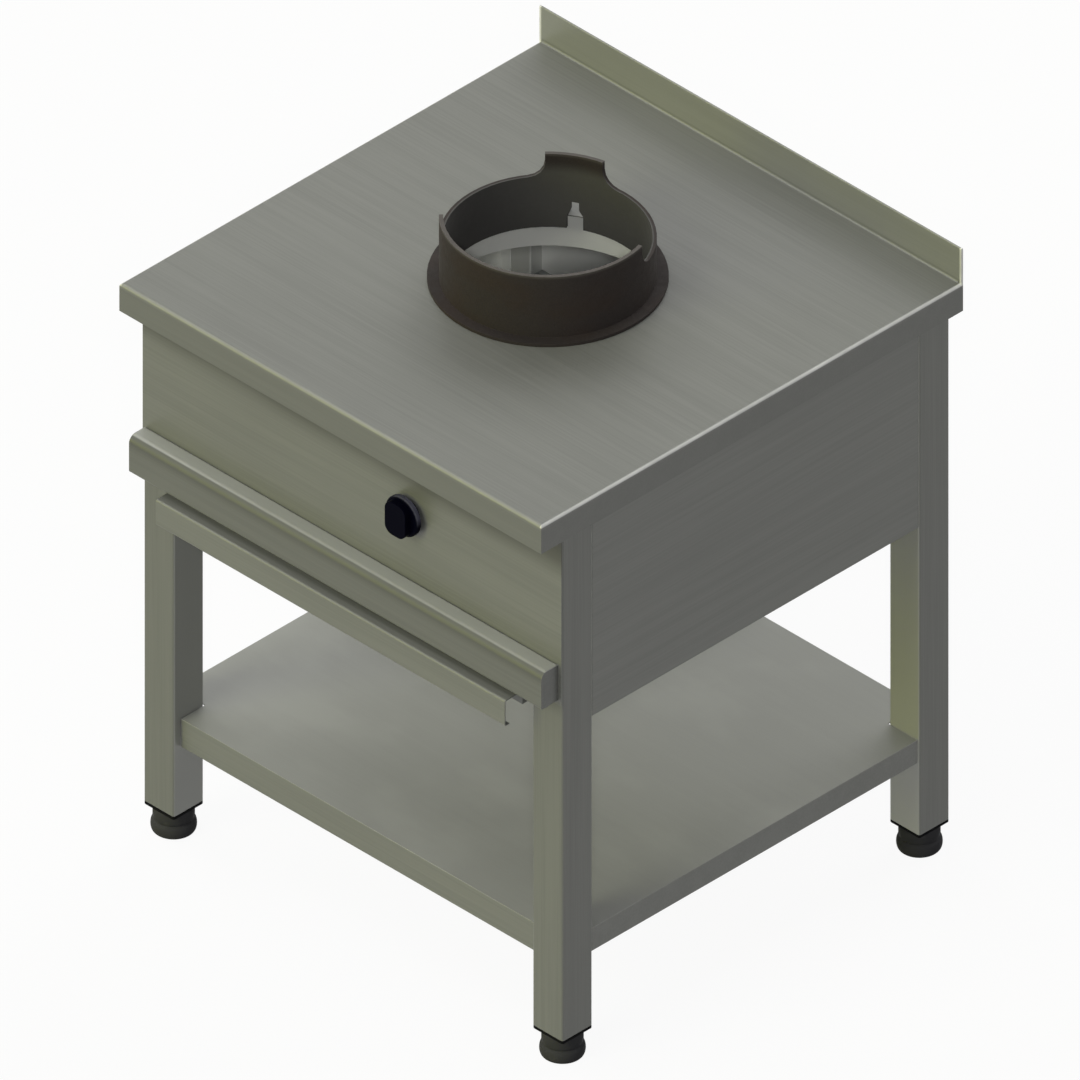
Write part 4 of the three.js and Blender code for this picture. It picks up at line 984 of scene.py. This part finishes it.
@dataclass
class SubAssembly:
    """What every sub-assembly has: the workshop, and the CAD nodes that it shows rounded."""

    workshop: Workshop
    parts: tuple[Part, ...] = ()

    def build(self) -> None:
        """Builds and dresses every piece."""
        for part in self.parts:
            self.workshop.keep_part(part)


@dataclass
class Casing(SubAssembly):
    """Worktop, hole collar, apron, panels and guard rail."""

    parts: tuple[Part, ...] = (
        Part("worktop", TOP_SHEET, 0.45 * MM),
        Part("hole_collar", CASED_SHEET, 0.5 * MM),
        Part("front_apron", APRON_SHEET),
        Part("side_panel_left", CASED_SHEET_DEEP),
        Part("side_panel_right", CASED_SHEET_DEEP),
        Part("rear_panel", CASED_SHEET),
        Part("guard_rail", RAIL_SHEET),
    )


@dataclass
class Frame(SubAssembly):
    """Legs, upper tubes and what hangs from them."""

    parts: tuple[Part, ...] = (
        *(Part("leg_" + corner, TUBE_UPRIGHT, 0.5 * MM) for corner in CORNERS),
        *(Part("frame_rail_" + side, TUBE_DEEP, 1.2 * MM, 3) for side in ("left", "right")),
        *(Part("frame_rail_" + side, TUBE_SIDEWAYS, 1.2 * MM, 3) for side in ("front", "rear")),
        *(Part("tray_runner_" + side, ZINC) for side in ("left", "right")),
        *(Part("burner_strap_" + side, ZINC, 0.5 * MM) for side in ("front", "rear")),
    )


@dataclass
class Feet(SubAssembly):
    """Leg inserts, threaded stems and the round pads that stand on the floor."""

    # the pad, in millimetres
    bulge_radius: float = 27.5
    bulge_depth: float = 3.2
    bulge_middle: float = 8
    neck_radius: float = 25
    bore_radius: float = 5.3
    bore_floor: float = 10
    pad_top: float = 34.7
    pad_sides: int = 64
    # the stem, in metres
    stem_sides: int = 24
    thread_pitch: float = 1.5 * MM
    thread_depth: float = 0.9 * MM
    crest: tuple[float, float] = (0.6 * MM, 0.8 * MM)  # from a turn's start, upwards

    def pad_profile(self) -> Profile:
        """Gives the pad's outline, which is worked out in millimetres.

        Returns:
            Points of radius and height.
        """
        angles = [math.radians(angle) for angle in range(-84, 66, 12)]
        middle, neck, bore = self.bulge_middle, self.neck_radius, self.bore_radius
        hollow = [(0.0, 1.5), (15, 1.5), (16.5, 0.2), (17.2, 0.0), (23.6, 0.0)]
        bulge = [
            (self.bulge_radius - self.bulge_depth * (1 - math.cos(a)), middle * (1 + math.sin(a)))
            for a in angles
        ]
        groove = [(23.6, 16.4), (23.3, 17.2), (23.6, 18.0), (24.7, 19.2)]
        collar = [(neck, 20.2), (neck, 33.2), (24.5, 34.3), (23.6, self.pad_top)]
        socket = [(bore + 0.8, self.pad_top), (bore, 33.9), (bore, self.bore_floor)]
        outline = [*hollow, *bulge, *groove, *collar, *socket, (0.0, self.bore_floor)]
        return [(radius * MM, height * MM) for radius, height in outline]

    def stem_profile(self, low: float, high: float, radius: float) -> Profile:
        """Gives the outline of a threaded stem.

        Args:
            low: Its lower end.
            high: Its upper end.
            radius: The thread's outer radius.

        Returns:
            Points of radius and height.
        """
        root = radius - self.thread_depth
        rise, fall = self.crest
        points = [(0.0, low), (root, low)]
        turns = int((high - low) / self.thread_pitch) - 1
        for turn in range(turns):
            at = low + (turn + 0.5) * self.thread_pitch
            points += [(root, at), (radius, at + rise), (radius, at + fall)]
        return [*points, (root, high - fall), (root, high), (0.0, high)]

    def build(self) -> None:
        """Builds and dresses every piece."""
        keep = self.workshop.keep
        for corner in CORNERS:
            pad, stem, insert = (k + corner for k in ("foot_pad_", "foot_stem_", "insert_"))
            low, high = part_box(stem)
            middle = (low + high) / 2
            move = Matrix.Translation((middle.x, middle.y, 0))
            mesh = lathe(self.pad_profile(), self.pad_sides)
            mesh.transform(move)
            keep(put(pad + "_turned", mesh), FOOT_PLASTIC, "foot_" + corner, [pad])
            profile = self.stem_profile(low.z, high.z, (high.x - low.x) / 2)
            mesh = lathe(profile, self.stem_sides)
            mesh.transform(move)
            keep(put(stem + "_threaded", mesh), ZINC, "foot_" + corner, [stem])
            self.workshop.keep_part(Part(insert, INSERT_PLASTIC, 0.5 * MM))


@dataclass
class Shelf(SubAssembly):
    """Lower shelf with its stiffener and angle brackets."""

    parts: tuple[Part, ...] = (
        Part("shelf", SHELF_SHEET, 0.45 * MM),
        Part("shelf_stiffener", SHELF_SHEET),
        *(Part("shelf_bracket_" + corner, ZINC) for corner in CORNERS),
    )


@dataclass
class DripTray(SubAssembly):
    """Pull-out tray under the burner."""

    parts: tuple[Part, ...] = (Part("drip_tray", SHEET),)


@dataclass
class WokRing(SubAssembly):
    """Loose cast ring that carries the wok."""

    parts: tuple[Part, ...] = (Part("wok_ring", RING_IRON, 1.1 * MM, 3),)


@dataclass
class Burner(SubAssembly):
    """Burner, its cap, mixing tube and air shutter, with the pilot and the probe beside it."""

    parts: tuple[Part, ...] = (
        Part("burner_body", BURNER_IRON, 1.0 * MM, 3),
        Part("burner_cap", BURNER_IRON, 0.5 * MM),
        Part("mixing_tube", ZINC),
        Part("air_shutter", ZINC),
        Part("injector", BRASS, 0.3 * MM),
        Part("injector_elbow", BRASS, 1.0 * MM, 3),
        Part("pilot_burner", BRASS, 0.3 * MM),
    )


@dataclass(frozen=True)
class Pipe:
    """One bent pipe: its CAD node, and its radius, bend radius and corners in millimetres."""

    node: str
    radius: float
    bend: float
    route: tuple[Point, ...]


@dataclass
class GasTrain(SubAssembly):
    """Gas inlet, valve and every bent pipe between them and the burner."""

    parts: tuple[Part, ...] = (
        Part("gas_inlet", BRASS),
        Part("gas_valve", BRASS, 0.8 * MM, 3),
        Part("valve_bracket", ZINC),
        Part("push_cup", BRASS, 0.3 * MM),
        Part("valve_spindle", ZINC, 0.5 * MM),
    )
    pipes: tuple[Pipe, ...] = (
        Pipe(
            "supply_pipe",
            7.5,
            24,
            ((250, 277.9, 600), (250, -263.9, 600), (94, -263.9, 600), (94, -263.9, 657.7)),
        ),
        Pipe(
            "feed_pipe",
            5,
            12,
            ((79.7, -263.9, 674), (44, -263.9, 674), (44, -245.3, 709), (8.3, -245.3, 709)),
        ),
        Pipe(
            "pilot_pipe",
            2,
            8,
            (
                (86, -263.9, 690.3),
                (86, -263.9, 709),
                (83, -203.9, 709),
                (83, -67.3, 701),
                (83, -37.3, 701),
            ),
        ),
        Pipe(
            "thermocouple",
            1.6,
            8,
            (
                (100, -251.6, 680),
                (100, -221.9, 680),
                (97, -55, 697),
                (97, -32, 697),
                (97, -32, 737),
            ),
        ),
    )

    def bend(self, tree: bpy.types.NodeTree, pipe: Pipe) -> None:
        """Makes one pipe with the Geometry Nodes tree, and keeps it.

        Args:
            tree: The pipe tree.
            pipe: The pipe.
        """
        line = bpy.data.meshes.new(pipe.node)
        corners = [tuple(c * MM for c in corner) for corner in pipe.route]
        line.from_pydata(corners, [(i, i + 1) for i in range(len(corners) - 1)], [])
        values = {
            "Radius": pipe.radius * MM,
            "Bend Radius": pipe.bend * MM,
            "Finish": self.workshop.material(COPPER),
        }
        piece = self.workshop.grown(put(pipe.node + "_bent", line), tree, values)
        self.workshop.keep(piece, COPPER, self.workshop.nodes[pipe.node]["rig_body"], [pipe.node])

    def build(self) -> None:
        """Builds and dresses every piece."""
        super().build()
        tree = pipe_tree()
        for pipe in self.pipes:
            self.bend(tree, pipe)


@dataclass
class Knob(SubAssembly):
    """Control knob and the plate behind it."""

    parts: tuple[Part, ...] = (
        Part("knob", KNOB_PLASTIC, 1.6 * MM, 4),
        Part("knob_bezel", BEZEL_PLASTIC, 0.3 * MM),
    )


class Head(Enum):
    """Shapes of a fastener's head: an outline's radii and its heights, for a radius of 1."""

    SCREW = (
        (0.0, 0.98, 1.0, 0.96, 0.8, 0.76, 0.66, 0.5, 0.32, 0.26, 0.2, 0.0),
        (-0.05, -0.05, 0.06, 0.1, 0.12, 0.3, 0.42, 0.48, 0.49, 0.44, 0.24, 0.22),
    )
    RIVET = (
        (0.0, 0.98, 1.0, 0.93, 0.74, 0.45, 0.3, 0.24, 0.0),
        (-0.05, -0.05, 0.05, 0.16, 0.3, 0.4, 0.42, 0.36, 0.34),
    )
    WELD = ((0.0, 1.0, 0.94, 0.72, 0.56, 0.0), (-0.02, -0.02, 0.05, 0.08, 0.04, 0.02))

    def mesh(self, sides: int) -> bpy.types.Mesh:
        """Turns the outline into a head with this many sides."""
        return lathe(list(zip(*self.value)), sides)


@dataclass(frozen=True)
class Row:
    """Fasteners in a straight row, in millimetres."""

    start: Point
    step: Point
    facing: Point
    count: int = 2

    def mirrored(self) -> "Row":
        """Gives the same row on the other side of the range."""
        flipped = ((-p[0], p[1], p[2]) for p in (self.start, self.step, self.facing))
        return Row(*flipped, self.count)

    def places(self) -> list[Point]:
        """Gives the middle of each fastener's seat, in metres."""
        pairs = list(zip(self.start, self.step))
        return [tuple((f + s * i) * MM for f, s in pairs) for i in range(self.count)]


@dataclass
class Fasteners(SubAssembly):
    """Screw and rivet heads, and the spot welds of the shelf, all set by one tree."""

    inwards: Point = (1, 0, 0)
    rearwards: Point = (0, 1, 0)
    downwards: Point = (0, 0, -1)
    sides: int = 20

    def groups(self) -> dict[str, tuple[Head, float, Finish, list[Row]]]:
        """Gives the fasteners that hold one thing together.

        Returns:
            For each group its head, the head's radius in millimetres, its finish and its rows.
        """
        brackets = [Row((-294.2, y, 156), (0, 15, 0), self.inwards) for y in (-289.7, 292.5)]
        ledges = [Row((-281, y, 171.2), (0, 12, 0), self.downwards) for y in (-288.2, 294)]
        straps = [Row((-311.4, y, 782), (0, 14, 0), self.inwards) for y in (-39, 51)]
        ends = ((-302, 28), (284, 9))
        runners = [Row((-295.7, y, 519.1), (0, step, 0), self.inwards) for y, step in ends]
        rear = [Row((-280, 299.7, z), (140, 0, 0), self.rearwards, 5) for z in (497, 742)]
        valve = [Row((63, -310.2, z), (62, 0, 0), self.rearwards) for z in (653, 692)]
        welds = [Row((-300, y, 172.7), (50, 0, 0), self.downwards, 13) for y in (-36, 36)]
        return {
            "rear_panel_screws": (Head.SCREW, 4.5, ZINC, rear),
            "shelf_bracket_screws": (Head.SCREW, 3.6, ZINC, self.both_sides(brackets)),
            "shelf_rivets": (Head.RIVET, 3.2, ZINC, self.both_sides(ledges)),
            "shelf_spot_welds": (Head.WELD, 4.0, SHELF_SHEET, welds),
            "burner_strap_screws": (Head.SCREW, 3.6, ZINC, self.both_sides(straps)),
            "tray_runner_rivets": (Head.RIVET, 1.8, ZINC, self.both_sides(runners)),
            "valve_bracket_screws": (Head.SCREW, 3.2, ZINC, valve),
        }

    def both_sides(self, rows: Sequence[Row]) -> list[Row]:
        """Adds the same rows on the other side of the range."""
        return [*rows, *(row.mirrored() for row in rows)]

    def build(self) -> None:
        """Builds and dresses every piece."""
        tree = fastener_tree()
        for name, (head, radius, finish, rows) in self.groups().items():
            pattern = put(name + "_pattern", head.mesh(self.sides))
            points = bpy.data.meshes.new(name)
            points.from_pydata([place for row in rows for place in row.places()], [], [])
            facing = points.attributes.new("facing", "FLOAT_VECTOR", "POINT")
            ways = [c for row in rows for _ in range(row.count) for c in row.facing]
            facing.data.foreach_set("vector", ways)
            values = {
                "Head": pattern,
                "Head Radius": radius * MM,
                "Finish": self.workshop.material(finish),
            }
            piece = self.workshop.grown(put(name, points), tree, values)
            self.workshop.keep(piece, finish, "chassis")
            bpy.data.objects.remove(pattern)


# ---- Studio ----


@dataclass(frozen=True)
class Lamp:
    """One soft lamp that shines from a direction. Its angles are in degrees."""

    name: str
    azimuth: float
    elevation: float
    level: float  # how light a white face turned to it looks
    width: float = 30.0
    colour: tuple[float, float, float] = (1.0, 1.0, 1.0)


@dataclass
class Studio:
    """Camera, pale floor, lamps and surroundings."""

    azimuth: float = 45.0
    elevation: float = 35.2644
    aim: Point = (-0.001, -0.001, 0.4306)
    view_width: float = 1.267
    distance: float = 6.0
    floor_half: float = 30.0
    fill: float = 0.1
    bounce: float = 0.2
    floor_albedo: float = 0.8
    backdrop_share: float = 0.93
    lamps: tuple[Lamp, ...] = (
        Lamp("overhead_softbox", -20, 75, 0.15),
        Lamp("front_strip", -24, 8, 0.17, 25, (1.0, 1.06, 0.0)),
        Lamp("front_softbox", -10, 33, 0.34, 30, (1.0, 1.02, 0.8)),
        Lamp("camera_side_softbox", 45, 35.3, 0.26, 4),
        Lamp("left_softbox", 270, 28, 0.34, 40),
        Lamp("rear_softbox", 190, 28, 0.34, 40),
    )

    def aimed(
        self,
        name: str,
        data: bpy.types.ID,
        azimuth: float,
        elevation: float,
        target: Point = (0.0, 0.0, 0.0),
    ) -> bpy.types.Object:
        """Puts the camera or a lamp into the scene, and turns it towards a point.

        Args:
            name: The object's name.
            data: The camera or lamp.
            azimuth: Where it stands: 0 is in front of the range and 90 to its right, in degrees.
            elevation: How high it stands above the horizon, in degrees.
            target: The point.

        Returns:
            The object.
        """
        a, e = math.radians(azimuth), math.radians(elevation)
        way = Vector((math.sin(a) * math.cos(e), -math.cos(a) * math.cos(e), math.sin(e)))
        thing = put(name, data)
        thing.location = Vector(target) + way * self.distance
        thing.rotation_euler = (-way).to_track_quat("-Z", "Y").to_euler()
        return thing

    def camera(self) -> None:
        """Makes the camera, with the photograph's parallel view."""
        data = bpy.data.cameras.new("camera")
        data.type = "ORTHO"
        data.ortho_scale = self.view_width
        camera = self.aimed("camera", data, self.azimuth, self.elevation, self.aim)
        bpy.context.scene.camera = camera

    def seen(self, bench: Bench) -> Signal:
        """Tells what is looked at from what only sheds light.

        Args:
            bench: Where the nodes are added.

        Returns:
            1 for a ray from the camera, a reflection or a look through, and 0 otherwise.
        """
        rays = bench.add("ShaderNodeLightPath", {}).outputs
        camera, glossy, through = (
            Signal(bench, rays[f"Is {kind} Ray"]) for kind in ("Camera", "Glossy", "Transmission")
        )
        return camera.or_more(glossy).or_more(through)

    def surroundings(self) -> None:
        """Makes the world: white where it is seen, a plain soft fill elsewhere."""
        world = bpy.data.worlds.new("studio")
        world.use_nodes = True
        bpy.context.scene.world = world
        bench = Bench(world.node_tree)
        level = self.fill
        colour = bench.mix(self.seen(bench), (level, level, level, 1.0), (1.0, 1.0, 1.0, 1.0))
        light = bench.make("ShaderNodeBackground", {"Color": colour, "Strength": 1.0})
        bench.add("ShaderNodeOutputWorld", {"Surface": light})

    def floor(self) -> None:
        """Makes the pale floor, which keeps the object's shadow."""
        half = self.floor_half
        mesh = bpy.data.meshes.new("floor")
        corners = [(-half, -half, 0), (half, -half, 0), (half, half, 0), (-half, half, 0)]
        mesh.from_pydata(corners, [], [(0, 1, 2, 3)])
        floor = put("floor", mesh)
        material = bpy.data.materials.new("pale_floor")
        material.use_nodes = True
        bench = Bench(material.node_tree)
        seen = self.seen(bench)
        shed, shown = ((v, v, v, 1.0) for v in (self.bounce, self.floor_albedo))
        colour = bench.mix(seen, shed, shown)
        matt = bench.make("ShaderNodeBsdfDiffuse", {"Color": colour})
        glow = bench.make("ShaderNodeEmission", {"Strength": 1.0})
        mixed = bench.make("ShaderNodeMixShader", {0: seen * self.backdrop_share, 1: matt, 2: glow})
        bench.add("ShaderNodeOutputMaterial", {"Surface": mixed})
        mesh.materials.append(material)

    def lights(self) -> None:
        """Makes the lamps."""
        for lamp in self.lamps:
            data = bpy.data.lights.new(lamp.name, "SUN")
            data.energy = lamp.level * math.pi
            data.angle = math.radians(lamp.width)
            data.color = lamp.colour
            self.aimed(lamp.name, data, lamp.azimuth, lamp.elevation)

    def build(self) -> None:
        """Sets up everything round the object."""
        bpy.context.scene.view_settings.view_transform = "Standard"
        self.camera()
        self.surroundings()
        self.floor()
        self.lights()


def main() -> None:
    """Builds the studio and every sub-assembly in order."""
    logging.basicConfig(level=logging.INFO, format="%(message)s")
    Studio().build()
    workshop = Workshop(frame["nodes"])
    for kind in (Casing, Frame, Feet, Shelf, DripTray, WokRing, Burner, GasTrain, Knob, Fasteners):
        log.info("building %s", kind.__name__)
        kind(workshop).build()


if __name__ == "__main__":
    main()
